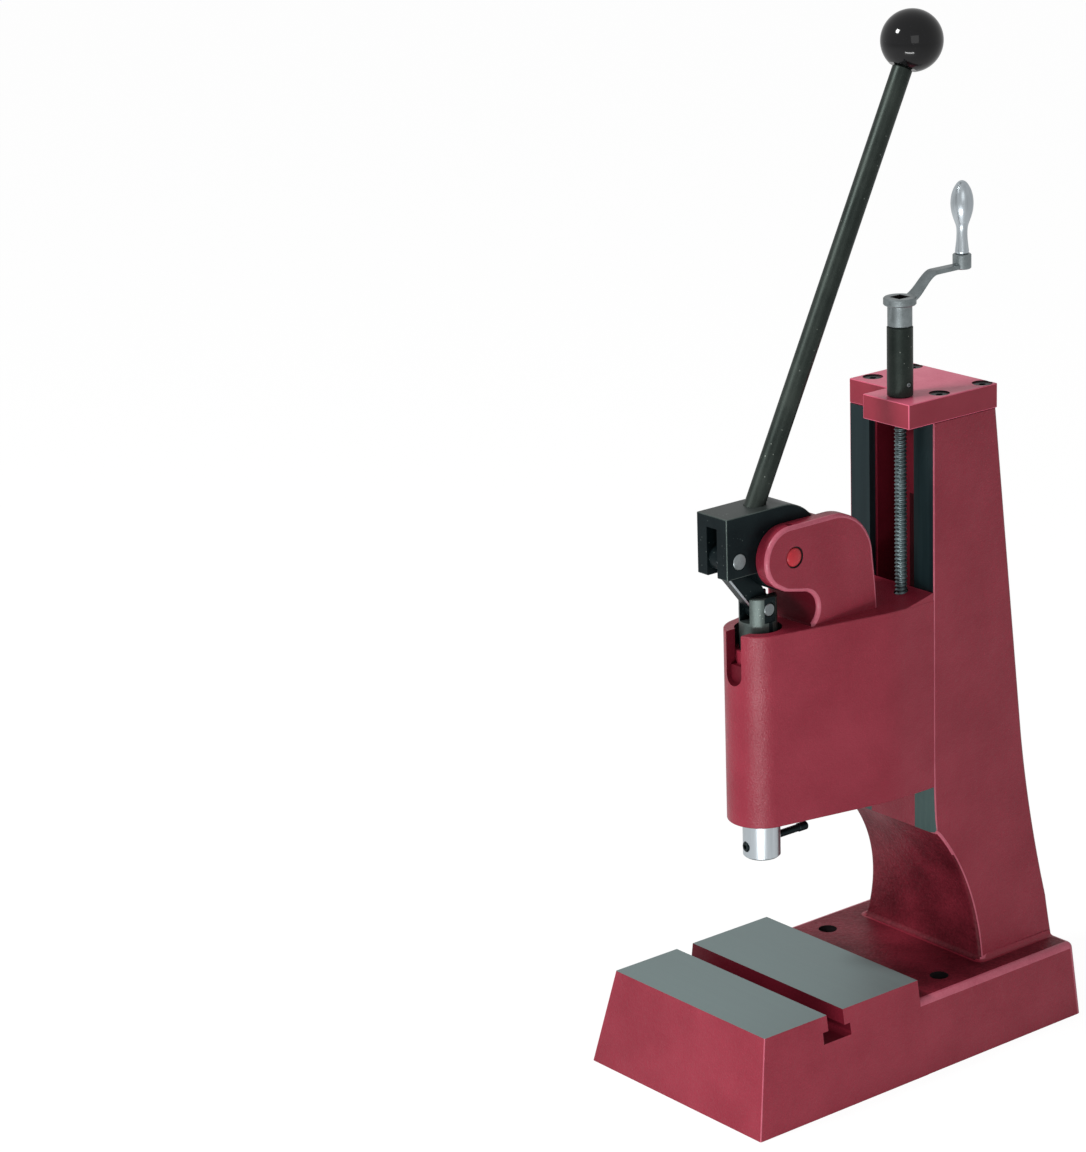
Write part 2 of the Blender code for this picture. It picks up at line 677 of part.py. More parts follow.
def handle_profile():
    """Machine handle from its tip down to its foot, as shares of its height and radii."""
    shares = [(1, 0, 0), (0.985, 0.28, 0), (0.956, 0.48, 0), (0.898, 0.71, 0), (0.839, 0.86, 0),
              (0.766, 0.965, 0), (0.678, 1, 0), (0.59, 0.945, 0), (0.518, 0.83, 0), (0.444, 0.67, 0),
              (0.386, 0.54, 0), (0.31, 0, 1), (0.2, 0, 1.03), (0.11, 0, 1.16), (0.035, 0, 1.28),
              (0, 0, 1.28)]
    profile = []
    for height_share, bulb_share, neck_share in shares:
        radius = HANDLE_BULB_RADIUS * bulb_share + HANDLE_NECK_RADIUS * neck_share
        profile.append((radius, HANDLE_HEIGHT * height_share))
    profile.append((0, 0))
    return profile


def head_plan():
    """Head seen from above: a round nose whose sides spread to the column's width."""
    spread = math.hypot(COLUMN_HALF, BEND_Y - RAM_Y)
    lean = math.atan2(COLUMN_HALF, BEND_Y - RAM_Y) - math.asin(NOSE_RADIUS / spread)
    nose = arc((0, RAM_Y), NOSE_RADIUS, 180 + math.degrees(lean), 360 - math.degrees(lean), 2 * ARC_STEPS)
    return nose + [(COLUMN_HALF, BEND_Y), (COLUMN_HALF, HEAD_BACK), (-COLUMN_HALF, HEAD_BACK),
                   (-COLUMN_HALF, BEND_Y)]


def ear_outline():
    """Ears and the web behind them, seen from the side."""
    front = (PIVOT_Y - EAR_LEAD, PIVOT_Z)
    sink = HEAD_TOP_Z - 2 * EMBED
    notch = arc((NOTCH_Y, NOTCH_Z), NOTCH_RADIUS, -60, 85)
    top_z = PIVOT_Z + EAR_RADIUS
    outline = [(notch[0][0], sink)] + notch + [(NOTCH_LIP_Y, NOTCH_LIP_Z)]
    outline += arc(front, EAR_RADIUS, 242, 90, ARC_STEPS)
    back = arc((EAR_BACK_Y, top_z - EAR_BACK_RADIUS), EAR_BACK_RADIUS, 90, 4, ARC_STEPS)
    return outline + back + [(EAR_HEEL_Y, HEAD_TOP_Z + NOTCH_RADIUS), (EAR_FOOT_Y, sink)]


def head_casting():
    """Head with its nose, ears, shoulder and guide key."""
    middle = (HEAD_BOTTOM_Z + HEAD_TOP_Z) / 2
    body = plate(head_plan(), (HEAD_TOP_Z - HEAD_BOTTOM_Z) / 2, PLAN, (0, 0, middle))
    shoulder = plate([(BEND_Y, HEAD_TOP_Z - EMBED), (HEAD_BACK - SKIN, HEAD_TOP_Z - EMBED),
                      (HEAD_BACK - SKIN, HEAD_TOP_Z + SHOULDER_RISE)], COLUMN_HALF - SKIN, SIDE)
    ears = bevel(plate(ear_outline(), EAR_OUTER, SIDE), EAR_EDGE)
    swing_room = BLOCK_RADIUS + GAP
    drop_room = PIVOT_Y + BLOCK_DROP + GAP
    top = PIVOT_Z + EAR_RADIUS + OVERRUN
    slope = [(WEB_SLOPE_TOP_Y, top), (WEB_SLOPE_LOW_Y, WEB_SLOPE_LOW_Z), (BEND_Y, WEB_SLOPE_LOW_Z),
             (BEND_Y, top)]
    web_width = EAR_OUTER + OVERRUN + EAR_INNER
    cut(ears, box((-EAR_INNER, 0, HEAD_TOP_Z - 3 * EMBED), (EAR_INNER, drop_room, BLOCK_TOP_Z + OVERRUN)),
        bar((-EAR_INNER, PIVOT_Y, PIVOT_Z), (EAR_INNER, PIVOT_Y, PIVOT_Z), swing_room, FINE_SIDES),
        plate(slope, web_width / 2, SIDE, (EAR_INNER - web_width / 2, 0, 0)))
    key = box((GAP - GUIDE_HALF, HEAD_BACK - EMBED, KEY_BOTTOM_Z),
              (GUIDE_HALF - GAP, HEAD_BACK + GUIDE_DEPTH - GAP, HEAD_TOP_Z - EMBED))
    fuse(body, shoulder, ears, key)
    cut(body, *head_bores())
    part("head_casting", body, WINE_PAINT, HEAD)


def head_bores():
    """Everything that is bored, slotted or tapped in the head."""
    ram_place = (0, RAM_Y)
    relief = bar((*ram_place, HEAD_BOTTOM_Z - OVERRUN), (*ram_place, UPPER_BUSH_BOTTOM_Z - GAP),
                 RELIEF_RADIUS + GAP, FINE_SIDES)
    seat = bar((*ram_place, UPPER_BUSH_BOTTOM_Z - EMBED), (*ram_place, HEAD_TOP_Z + OVERRUN),
               UPPER_BUSH_RADIUS + GAP, FINE_SIDES)
    pocket = bar((*ram_place, UPPER_BUSH_TOP_Z), (*ram_place, HEAD_TOP_Z + OVERRUN),
                 POCKET_RADIUS, FINE_SIDES)
    front = RAM_Y - NOSE_RADIUS - OVERRUN
    slot_middle = (0, NOSE_SLOT_BOTTOM_Z + NOSE_SLOT_HALF)
    outline = arc(slot_middle, NOSE_SLOT_HALF, 180, 360, ARC_STEPS)
    outline += [(NOSE_SLOT_HALF, HEAD_TOP_Z + OVERRUN), (-NOSE_SLOT_HALF, HEAD_TOP_Z + OVERRUN)]
    nose_slot = plate(outline, (RAM_Y - front) / 2, FRONT, (0, (RAM_Y + front) / 2, 0))
    spindle_way = bar((SPINDLE_X, SPINDLE_Y, HEAD_BOTTOM_Z - OVERRUN),
                      (SPINDLE_X, SPINDLE_Y, HEAD_TOP_Z + SHOULDER_RISE + OVERRUN), SPINDLE_RADIUS + 2 * GAP)
    nut_room = box((SPINDLE_X - NUT_HALF_WIDTH - GAP, NUT_FRONT_Y - GAP, NUT_BOTTOM_Z - GAP),
                   (SPINDLE_X + NUT_HALF_WIDTH + GAP, HEAD_BACK + GUIDE_DEPTH,
                    NUT_BOTTOM_Z + NUT_HEIGHT + GAP))
    pivot_bore = bar((-EAR_OUTER - OVERRUN, PIVOT_Y, PIVOT_Z), (EAR_OUTER + OVERRUN, PIVOT_Y, PIVOT_Z),
                     PIVOT_PIN_RADIUS + GAP)
    bores = [relief, seat, pocket, nose_slot, spindle_way, nut_room, pivot_bore]
    for side in (-1, 1):
        inner, outer = side * (EAR_OUTER - PIN_RING), side * (EAR_OUTER + OVERRUN)
        bores.append(bar((inner, PIVOT_Y, PIVOT_Z), (outer, PIVOT_Y, PIVOT_Z), PIVOT_PIN_RADIUS + PIN_RING,
                         FINE_SIDES))
    bores.append(bar((ear_middle(), PIVOT_Y, PIVOT_Z), (ear_middle(), PIVOT_Y, BLOCK_TOP_Z),
                     EAR_SCREW_RADIUS + GAP, SMALL_SIDES))
    for z in STUD_Z:
        bores.append(bar((0, HEAD_BACK - STUD_SEAT - GAP, z), (0, HEAD_BACK + OVERRUN + GUIDE_DEPTH, z),
                         STUD_RADIUS + GAP, SMALL_SIDES))
    return bores


def ear_middle():
    return (EAR_INNER + EAR_OUTER) / 2


def ram_bushes():
    place = (0, RAM_Y, 0)
    lower = ring(RAM_RADIUS + GAP, RELIEF_RADIUS, HEAD_BOTTOM_Z, LOWER_BUSH_TOP_Z, place,
                 sides=FINE_SIDES)
    upper = ring(RAM_RADIUS + GAP, UPPER_BUSH_RADIUS, UPPER_BUSH_BOTTOM_Z, UPPER_BUSH_TOP_Z, place,
                 sides=FINE_SIDES)
    part("lower_ram_bush", lower, BRONZE, HEAD)
    part("upper_ram_bush", upper, WINE_PAINT, HEAD)


def return_spring():
    """Round wire coiled about the ram between the lower bush and the ram's collar."""
    low = LOWER_BUSH_TOP_Z + GAP + SPRING_WIRE / 2 + SKIN
    high = COLLAR_BOTTOM_Z - GAP - SPRING_WIRE / 2 - SKIN
    steps = SPRING_TURNS * TURN_POINTS
    points = []
    for step in range(steps + 1):
        angle = 2 * math.pi * step / TURN_POINTS
        z = low + (high - low) * step / steps
        points.append(Vector((SPRING_RADIUS * math.cos(angle), RAM_Y + SPRING_RADIUS * math.sin(angle), z)))
    gap = min((points[i] - points[j]).length for i in range(steps + 1)
              for j in range(i + TURN_POINTS // 2, steps + 1)) - SPRING_WIRE
    print(f"return_spring: least gap between its turns {gap:.5f} m")
    curve = bpy.data.curves.new("return_spring", "CURVE")
    curve.dimensions = "3D"
    curve.bevel_depth = SPRING_WIRE / 2
    curve.bevel_resolution = 1
    curve.use_fill_caps = True
    spline = curve.splines.new("POLY")
    spline.points.add(steps)
    for point, place in zip(spline.points, points):
        point.co = (*place, 1)
    wire = tool(curve)
    part("return_spring", wire, SPRING_STEEL, HEAD)


def spindle_nut():
    nut = box((SPINDLE_X - NUT_HALF_WIDTH, NUT_FRONT_Y, NUT_BOTTOM_Z),
              (SPINDLE_X + NUT_HALF_WIDTH, HEAD_BACK, NUT_BOTTOM_Z + NUT_HEIGHT))
    cut(nut, bar((SPINDLE_X, SPINDLE_Y, NUT_BOTTOM_Z - OVERRUN),
                 (SPINDLE_X, SPINDLE_Y, NUT_BOTTOM_Z + NUT_HEIGHT + OVERRUN), SPINDLE_RADIUS + GAP))
    part("spindle_nut", nut, BRONZE, HEAD)


def pivot_pin():
    """Pin through both ears, domed at its ends, and the screw that holds it."""
    shoulder, tip = EAR_OUTER - PIN_RING, EAR_OUTER + PIVOT_PIN_DOME
    round_share = 0.6
    profile = [(0, tip), (PIVOT_PIN_RADIUS * round_share, tip - PIVOT_PIN_DOME / 3),
               (PIVOT_PIN_RADIUS, shoulder), (PIVOT_PIN_RADIUS, -shoulder),
               (PIVOT_PIN_RADIUS * round_share, PIVOT_PIN_DOME / 3 - tip), (0, -tip)]
    part("pivot_pin", turned(profile, (0, PIVOT_Y, PIVOT_Z), X_AXIS), WINE_PAINT, HEAD)
    top = PIVOT_Z + EAR_RADIUS - EAR_SCREW_SINK
    bottom = max(PIVOT_Z + PIVOT_PIN_RADIUS + GAP, top - EAR_SCREW_LENGTH)
    screw = bar((ear_middle(), PIVOT_Y, bottom), (ear_middle(), PIVOT_Y, top), EAR_SCREW_RADIUS,
                SMALL_SIDES)
    part("pivot_pin_screw", screw, BLACKENED, HEAD)


def head_clamp():
    """Studs from the head through the column's web, with a keeper plate, washers and nuts."""
    plate_front, plate_back = WEB_BACK + GAP, WEB_BACK + GAP + KEEPER_THICKNESS
    washer_front = plate_back + GAP
    nut_front = washer_front + WASHER_THICKNESS + GAP
    tip = nut_front + HEX_HEIGHT + STUD_TIP
    keeper = box((-KEEPER_HALF, plate_front, STUD_Z[0] - KEEPER_MARGIN),
                 (KEEPER_HALF, plate_back, STUD_Z[1] + KEEPER_MARGIN))
    for name, z in zip(("lower", "upper"), STUD_Z):
        cut(keeper, bar((0, plate_front - OVERRUN, z), (0, plate_back + OVERRUN, z), STUD_RADIUS + GAP,
                        SMALL_SIDES))
        stud = bar((0, HEAD_BACK - STUD_SEAT, z), (0, tip, z), STUD_RADIUS, SMALL_SIDES)
        washer = ring(STUD_RADIUS + GAP, WASHER_RADIUS, 0, WASHER_THICKNESS, (0, washer_front, z),
                      Y_AXIS)
        nut = bar((0, nut_front, z), (0, nut_front + HEX_HEIGHT, z), HEX_RADIUS, 6)
        cut(nut, bar((0, nut_front - OVERRUN, z), (0, nut_front + HEX_HEIGHT + OVERRUN, z),
                     STUD_RADIUS + GAP, SMALL_SIDES))
        part(f"{name}_clamp_stud", stud, BRIGHT_STEEL, HEAD)
        part(f"{name}_clamp_washer", washer, BRIGHT_STEEL, HEAD)
        part(f"{name}_clamp_nut", nut, BLACKENED, HEAD)
    part("keeper_plate", keeper, BLACKENED, HEAD)


def lever_block():
    """Block that swings between the ears on its round eye, slotted for the link."""
    front, bottom = PIVOT_Y - BLOCK_REACH, PIVOT_Z - BLOCK_DROP
    eye_half = BLOCK_HALF - SKIN
    eye = bar((-eye_half, PIVOT_Y, PIVOT_Z), (eye_half, PIVOT_Y, PIVOT_Z), EYE_RADIUS, FINE_SIDES)
    low_angle = -math.degrees(math.asin(BLOCK_DROP / BLOCK_RADIUS))
    outline = [(front, bottom)] + arc((PIVOT_Y, PIVOT_Z), BLOCK_RADIUS, low_angle, 90)
    outline.append((front, BLOCK_TOP_Z))
    block = fuse(bevel(plate(outline, BLOCK_HALF, SIDE), BLOCK_EDGE, 1), eye)
    eye_slot = box((-SLOT_HALF, front, PIVOT_Z - EYE_RADIUS - OVERRUN),
                   (SLOT_HALF, EYE_SLOT_BACK_Y, bottom))
    mouth = box((-SLOT_HALF, front - OVERRUN, bottom - OVERRUN),
                (SLOT_HALF, BLOCK_MOUTH_Y, BLOCK_MOUTH_Z))
    throat = box((-SLOT_HALF, front, bottom - OVERRUN), (SLOT_HALF, BLOCK_SLOT_BACK_Y, BLOCK_SLOT_TOP_Z))
    reach = BLOCK_HALF + OVERRUN
    pivot_bore = bar((-reach, PIVOT_Y, PIVOT_Z), (reach, PIVOT_Y, PIVOT_Z), PIVOT_PIN_RADIUS + GAP)
    toggle_bore = bar((-reach, *TOGGLE), (reach, *TOGGLE), TOGGLE_PIN_RADIUS + GAP)
    seat = lever_point(-LEVER_SEAT - GAP)
    rod_bore = bar(seat, lever_point(OVERRUN + LEVER_RADIUS), LEVER_RADIUS + GAP)
    cut(block, eye_slot, mouth, throat, pivot_bore, toggle_bore, rod_bore)
    part("lever_block", block, BLACKENED, LEVER, PIVOT_PLACE)


def lever_direction():
    return Vector((0, math.sin(LEVER_LEAN), math.cos(LEVER_LEAN)))


def lever_point(distance):
    """A point on the lever's axis, measured from the block's top."""
    return Vector((0, LEVER_ENTRY_Y, BLOCK_TOP_Z)) + distance * lever_direction()


def lever_rod_and_knob():
    """Straight lever with a spigot that the ball knob screws on."""
    neck = LEVER_LENGTH - math.sqrt(KNOB_RADIUS ** 2 - KNOB_FACE_RADIUS ** 2)
    tip = neck + SPIGOT_LENGTH
    rod = turned([(0, tip), (SPIGOT_RADIUS, tip), (SPIGOT_RADIUS, neck - GAP), (LEVER_RADIUS, neck - GAP),
                  (LEVER_RADIUS, -LEVER_SEAT), (0, -LEVER_SEAT)], lever_point(0), lever_direction())
    face_angle = -90 + math.degrees(math.asin(KNOB_FACE_RADIUS / KNOB_RADIUS))
    profile = [(0, LEVER_LENGTH + KNOB_RADIUS)]
    profile += arc((0, LEVER_LENGTH), KNOB_RADIUS, 90, face_angle, 2 * ARC_STEPS)[1:] + [(0, neck)]
    knob = turned(profile, lever_point(0), lever_direction())
    cut(knob, bar(lever_point(neck - OVERRUN), lever_point(tip + GAP), SPIGOT_RADIUS + GAP))
    part("lever_rod", rod, BLACKENED, LEVER, PIVOT_PLACE)
    part("lever_knob", knob, BLACK_PLASTIC, LEVER, PIVOT_PLACE)


def toggle_pin():
    """Pin in the block's cheeks, thinner where the link's open eye works on it."""
    profile = [(0, BLOCK_HALF), (TOGGLE_PIN_RADIUS, BLOCK_HALF), (TOGGLE_PIN_RADIUS, SLOT_HALF),
               (TOGGLE_WAIST_RADIUS, SLOT_HALF), (TOGGLE_WAIST_RADIUS, -SLOT_HALF),
               (TOGGLE_PIN_RADIUS, -SLOT_HALF), (TOGGLE_PIN_RADIUS, -BLOCK_HALF), (0, -BLOCK_HALF)]
    part("toggle_pin", turned(profile, (0, *TOGGLE), X_AXIS), BRIGHT_STEEL, LEVER, PIVOT_PLACE)


def link_outline():
    """Side of the link: a tapered bar round both pins, its front straight down to the lower pin."""
    slope = math.degrees(link_angle(0))
    half_taper = math.degrees(math.asin((LINK_TOP_RADIUS - LINK_FOOT_RADIUS) / LINK_LENGTH))
    top = arc(TOGGLE, LINK_TOP_RADIUS, slope - 90 - half_taper, slope + 90 + half_taper, 2 * ARC_STEPS)
    return top + arc(FOOT, LINK_FOOT_RADIUS, 180, slope + 270 - half_taper)


def toggle_link():
    """Link whose upper eye is opened along the toggle pin's path."""
    link = plate(link_outline(), LINK_HALF, SIDE)
    shape = bmesh.new()
    for y, z in toggle_pin_path():
        for around in arc((y, z), TOGGLE_WAIST_RADIUS + LINK_PATH_CLEARANCE, 0, 360, SMALL_SIDES):
            for x in (-LINK_HALF - OVERRUN, LINK_HALF + OVERRUN):
                shape.verts.new((x, *around))
    bmesh.ops.remove_doubles(shape, verts=shape.verts, dist=WELD)
    hull = bmesh.ops.convex_hull(shape, input=shape.verts)
    inside = [item for item in hull["geom_interior"] if isinstance(item, bmesh.types.BMVert)]
    bmesh.ops.delete(shape, geom=inside, context="VERTS")
    mesh = bpy.data.meshes.new("pin_path")
    shape.to_mesh(mesh)
    shape.free()
    reach = LINK_HALF + OVERRUN
    cut(link, tool(mesh), bar((-reach, *FOOT), (reach, *FOOT), LINK_PIN_RADIUS + GAP, SMALL_SIDES))
    part("toggle_link", link, BLACKENED, LINK, FOOT_PLACE)


def ram():
    """Round ram with a fork at its top, a groove for the collar and a tool bore."""
    top = RAM_TOP_Z
    groove = RAM_RADIUS - GROOVE_DEPTH
    profile = [(0, top), (RAM_RADIUS - RAM_EDGE, top), (RAM_RADIUS, top - RAM_EDGE),
               (RAM_RADIUS, COLLAR_TOP_Z + GAP), (groove, COLLAR_TOP_Z + GAP),
               (groove, COLLAR_BOTTOM_Z - GAP), (RAM_RADIUS, COLLAR_BOTTOM_Z - GAP),
               (RAM_RADIUS, RAM_BOTTOM_Z + RAM_EDGE), (RAM_RADIUS - RAM_EDGE, RAM_BOTTOM_Z),
               (0, RAM_BOTTOM_Z)]
    body = turned(profile, (0, RAM_Y, 0), sides=FINE_SIDES)
    wide = RAM_RADIUS + OVERRUN
    fork_bottom = FOOT[1] - LINK_FOOT_RADIUS - GAP
    cut(body, box((-SLOT_HALF, RAM_Y - wide, fork_bottom), (SLOT_HALF, RAM_Y + wide, top + OVERRUN)))
    for side in (-1, 1):
        near, far = sorted((side * RAM_FLAT_HALF, side * wide))
        cut(body, box((near, RAM_Y - wide, top - RAM_FLAT_LENGTH), (far, RAM_Y + wide, top + OVERRUN)))
    cut(body, bar((-wide, *FOOT), (wide, *FOOT), LINK_PIN_RADIUS + GAP, SMALL_SIDES))
    cut(body, bar((0, RAM_Y, RAM_BOTTOM_Z - OVERRUN), (0, RAM_Y, RAM_BOTTOM_Z + TOOL_BORE_DEPTH),
                  TOOL_BORE_RADIUS, SMALL_SIDES))
    cut(body, bar(tool_screw_point(0), tool_screw_point(wide), TOOL_SCREW_RADIUS + GAP, SMALL_SIDES))
    rear_z = RAM_BOTTOM_Z + REAR_PIN_RISE
    cut(body, bar((0, RAM_Y + RAM_RADIUS - REAR_PIN_SEAT - GAP, rear_z), (0, RAM_Y + wide, rear_z),
                  REAR_PIN_RADIUS + GAP, SMALL_SIDES))
    part("ram", body, BRIGHT_STEEL, RAM, RAM_PLACE)


def tool_screw_point(distance):
    """A point on the axis of the tool's set screw, from the ram's axis outwards."""
    x, y = distance * math.cos(TOOL_SCREW_AZIMUTH), distance * math.sin(TOOL_SCREW_AZIMUTH)
    return (x, RAM_Y + y, RAM_BOTTOM_Z + TOOL_SCREW_RISE)


def ram_fittings():
    """Link pin, spring collar, tool screw and the rod at the ram's back."""
    pin_half = RAM_FLAT_HALF - SKIN
    pin = bar((-pin_half, *FOOT), (pin_half, *FOOT), LINK_PIN_RADIUS, SMALL_SIDES)
    collar = ring(RAM_RADIUS - GROOVE_DEPTH + GAP, COLLAR_RADIUS, COLLAR_BOTTOM_Z, COLLAR_TOP_Z,
                  (0, RAM_Y, 0), sides=FINE_SIDES)
    screw = bar(tool_screw_point(TOOL_BORE_RADIUS + GAP), tool_screw_point(RAM_RADIUS + TOOL_SCREW_PROUD),
                TOOL_SCREW_RADIUS, SMALL_SIDES)
    rear_z = RAM_BOTTOM_Z + REAR_PIN_RISE
    rear = bar((0, RAM_Y + RAM_RADIUS - REAR_PIN_SEAT, rear_z), (0, RAM_Y + REAR_PIN_REACH, rear_z),
               REAR_PIN_RADIUS, SMALL_SIDES)
    part("link_pin", pin, BRIGHT_STEEL, RAM, RAM_PLACE)
    part("spring_collar", collar, BLACKENED, RAM, RAM_PLACE)
    part("tool_set_screw", screw, BLACKENED, RAM, RAM_PLACE)
    part("ram_rear_rod", rear, BLACKENED, RAM, RAM_PLACE)


clear_scene()
PARTS = new_collection("toggle_press")
CUTTERS = new_collection("cutters")
SPINDLE_PLACE = (SPINDLE_X, SPINDLE_Y, PLATE_TOP_Z)
PIVOT_PLACE = (0, PIVOT_Y, PIVOT_Z)
FOOT_PLACE = (0, *FOOT)
RAM_PLACE = (0, RAM_Y, RAM_BOTTOM_Z)
HANDLE_PLACE = (SPINDLE_X, SPINDLE_Y + CRANK_REACH, BOSS_TOP_Z)
ROOT = carrier("press_root", (0, -BASE_LENGTH / 2, 0))
HEAD = carrier("head_slide", (0, 0, 0), ROOT)
SPINDLE = carrier("spindle_axis", SPINDLE_PLACE, ROOT)
CRANK = carrier("crank_axis", SPINDLE_PLACE, ROOT)
HANDLE = carrier("handle_axis", HANDLE_PLACE, CRANK, SPINDLE_PLACE)
LEVER = carrier("lever_axis", PIVOT_PLACE, HEAD)
RAM = carrier("ram_axis", RAM_PLACE, HEAD)
LINK = carrier("link_axis", FOOT_PLACE, RAM, RAM_PLACE)

base_casting()
top_plate()
plate_screws()
spindle_bush()
spindle_group()
crank_group()
head_casting()
ram_bushes()
return_spring()
spindle_nut()
pivot_pin()
head_clamp()
lever_block()
lever_rod_and_knob()
toggle_pin()
toggle_link()
ram()
ram_fittings()
print(f"lever_swing {LEVER_SWING:.6f} rad, ram_stroke {RAM_STROKE:.6f} m, link_swing {LINK_SWING:.6f} rad")
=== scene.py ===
"""Finishes the toggle press for a studio picture.

Each CAD node that shows gets a piece with rounded castings, turned metal or a
cut thread. Pieces are drawn in metres from the base's front bottom edge, as the
CAD is, and the whole drawing moves back by HALF_LENGTH when a piece is finished.
"""
import math

import bmesh
import bpy
from mathutils import Matrix, Vector


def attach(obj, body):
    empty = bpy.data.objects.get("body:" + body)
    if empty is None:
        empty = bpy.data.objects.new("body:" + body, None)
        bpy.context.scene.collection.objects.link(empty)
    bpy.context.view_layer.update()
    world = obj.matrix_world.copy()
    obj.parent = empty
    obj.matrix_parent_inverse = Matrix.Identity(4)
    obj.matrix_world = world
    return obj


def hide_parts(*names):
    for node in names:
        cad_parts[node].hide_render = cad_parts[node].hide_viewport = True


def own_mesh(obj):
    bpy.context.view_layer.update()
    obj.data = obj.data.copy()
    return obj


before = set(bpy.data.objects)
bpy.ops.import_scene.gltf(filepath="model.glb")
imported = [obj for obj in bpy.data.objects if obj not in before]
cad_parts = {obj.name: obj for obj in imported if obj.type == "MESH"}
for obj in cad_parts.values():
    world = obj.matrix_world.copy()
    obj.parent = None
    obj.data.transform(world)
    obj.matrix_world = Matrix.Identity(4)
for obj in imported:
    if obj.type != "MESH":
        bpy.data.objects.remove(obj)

bpy.ops.object.select_all(action="DESELECT")
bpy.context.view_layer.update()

# Shared values
HALF_LENGTH = 0.1665
GAP = 0.0003
OVER = 0.004
SINK = 0.003
WELD = 0.00001
ROUND = 96
SMALL_ROUND = 48
ARC_STEPS = 24
SHARP = math.radians(28)
POLE = 0.00015
X_AXIS = Vector((1, 0, 0))
Y_AXIS = Vector((0, 1, 0))
Z_AXIS = Vector((0, 0, 1))

# Frame casting
BASE_HALF = 0.095
BASE_LENGTH = 0.333
TABLE_Z = 0.0726
TABLE_LENGTH = 0.168
SIDE_DRAFT = 0.0115
FRONT_DRAFT = 0.0155
DECK_Z = 0.0566
DECK_EDGE = 0.0045
SLOT_Y = 0.084
SLOT_NECK_HALF = 0.008
SLOT_NECK_Z = 0.0608
SLOT_FOOT_HALF = 0.0135
SLOT_FOOT_Z = 0.052
BOLT_X = 0.0615
BOLT_Y = 0.212
BOLT_RADIUS = 0.0072
COLUMN_HALF = 0.0445
COLUMN_FRONT = 0.224
COLUMN_BACK = 0.289
COLUMN_TOP = 0.4817
COLUMN_LEAN = 0.11
ARCH_TOP_Z = 0.163
ARCH_MIDDLE_Z = 0.076
ARCH_DEPTH = 0.031
FLARE_TOP_Z = 0.23
FLARE_WIDTH = 0.019
COLUMN_ROOT = 0.015
GUIDE_HALF = 0.0235
GUIDE_BACK = 0.23
CHANNEL_HALF = 0.0215
CHANNEL_BOTTOM_Z = 0.198
WEB_FRONT = 0.248
WEB_BACK = 0.258
WEB_SLOT_HALF = 0.0056
WEB_SLOT_TOP_Z = 0.415
POCKET_HALF = 0.029
POCKET_LOW_Z = 0.15
POCKET_HIGH_Z = 0.432

# Cover plate and its screws
PLATE_LOW_Z = 0.482
PLATE_HIGH_Z = 0.5006
TONGUE_FRONT = 0.199
TONGUE_LEFT = -0.0036
COVER_SCREWS = ((-0.035, 0.239), (0.035, 0.239), (-0.0365, 0.2815), (0.0365, 0.2815))
SCREW_HEAD_RADIUS = 0.0074
SCREW_RADIUS = 0.004
SCREW_LENGTH = 0.034

# Height spindle, crank and handle
SPINDLE_X = 0.02
SPINDLE_Y = 0.214
SPINDLE = (SPINDLE_X, SPINDLE_Y)
SPINDLE_RADIUS = 0.0047
THREAD_ROOT = 0.0037
THREAD_PITCH = 0.003
THREAD_LOW_Z = 0.2862
THREAD_TURNS = 64
SPINDLE_TOP_Z = 0.564
BUSH_RADIUS = 0.0075
SLEEVE_RADIUS = 0.0096
SLEEVE_TOP_Z = 0.5527
HUB_RADIUS = 0.0091
FLANGE_RADIUS = 0.0121
FLANGE_Z = 0.5685
HUB_TOP_Z = 0.5742
CRANK_REACH = 0.063
ARM_HALF = 0.005
ARM_THICKNESS = 0.0036
BOSS_LOW_Z = 0.585
BOSS_HIGH_Z = 0.596
BOSS_RADIUS = 0.0069
HANDLE_HEIGHT = 0.054
HANDLE_BULB = 0.0084
HANDLE_NECK = 0.004
HANDLE_PIN_RADIUS = 0.0022

# Head
RAM_Y = 0.09
NOSE_RADIUS = 0.0253
HEAD_LOW_Z = 0.2
HEAD_HIGH_Z = 0.3476
HEAD_BACK = 0.2237
BEND_Y = 0.184
SHOULDER_RISE = 0.0055
KEY_LOW_Z = 0.232
NOSE_SLOT_HALF = 0.008
NOSE_SLOT_Z = 0.308
NOSE_SLOT_DEEP = 0.0203
BUSH_LOW_Z = 0.322
EAR_OUTER = 0.028
EAR_INNER = 0.0165
EAR_RADIUS = 0.0235
EAR_FRONT_Y = 0.0977
EAR_BACK_RADIUS = 0.039
EAR_BACK_Y = 0.14
EAR_HEEL_Y = 0.1822
EAR_FOOT_Y = 0.1835
NOTCH_RADIUS = 0.0143
NOTCH_MIDDLE = (0.1093, 0.361)
NOTCH_LIP = (0.0934, 0.379)
PIVOT = (0.1013, 0.4035)
PIVOT_PIN_RADIUS = 0.007
PIN_RING = 0.0011
EAR_SCREW_RADIUS = 0.0025
EAR_SCREW_X = 0.02225
LOWER_BUSH_RADIUS = 0.0185
LOWER_BUSH_TOP_Z = 0.24
UPPER_BUSH_RADIUS = 0.017
UPPER_BUSH_TOP_Z = 0.332
NUT_ROOM_LOW = (0.0077, 0.2032, 0.3097)
NUT_ROOM_HIGH = (0.0323, GUIDE_BACK, 0.3423)

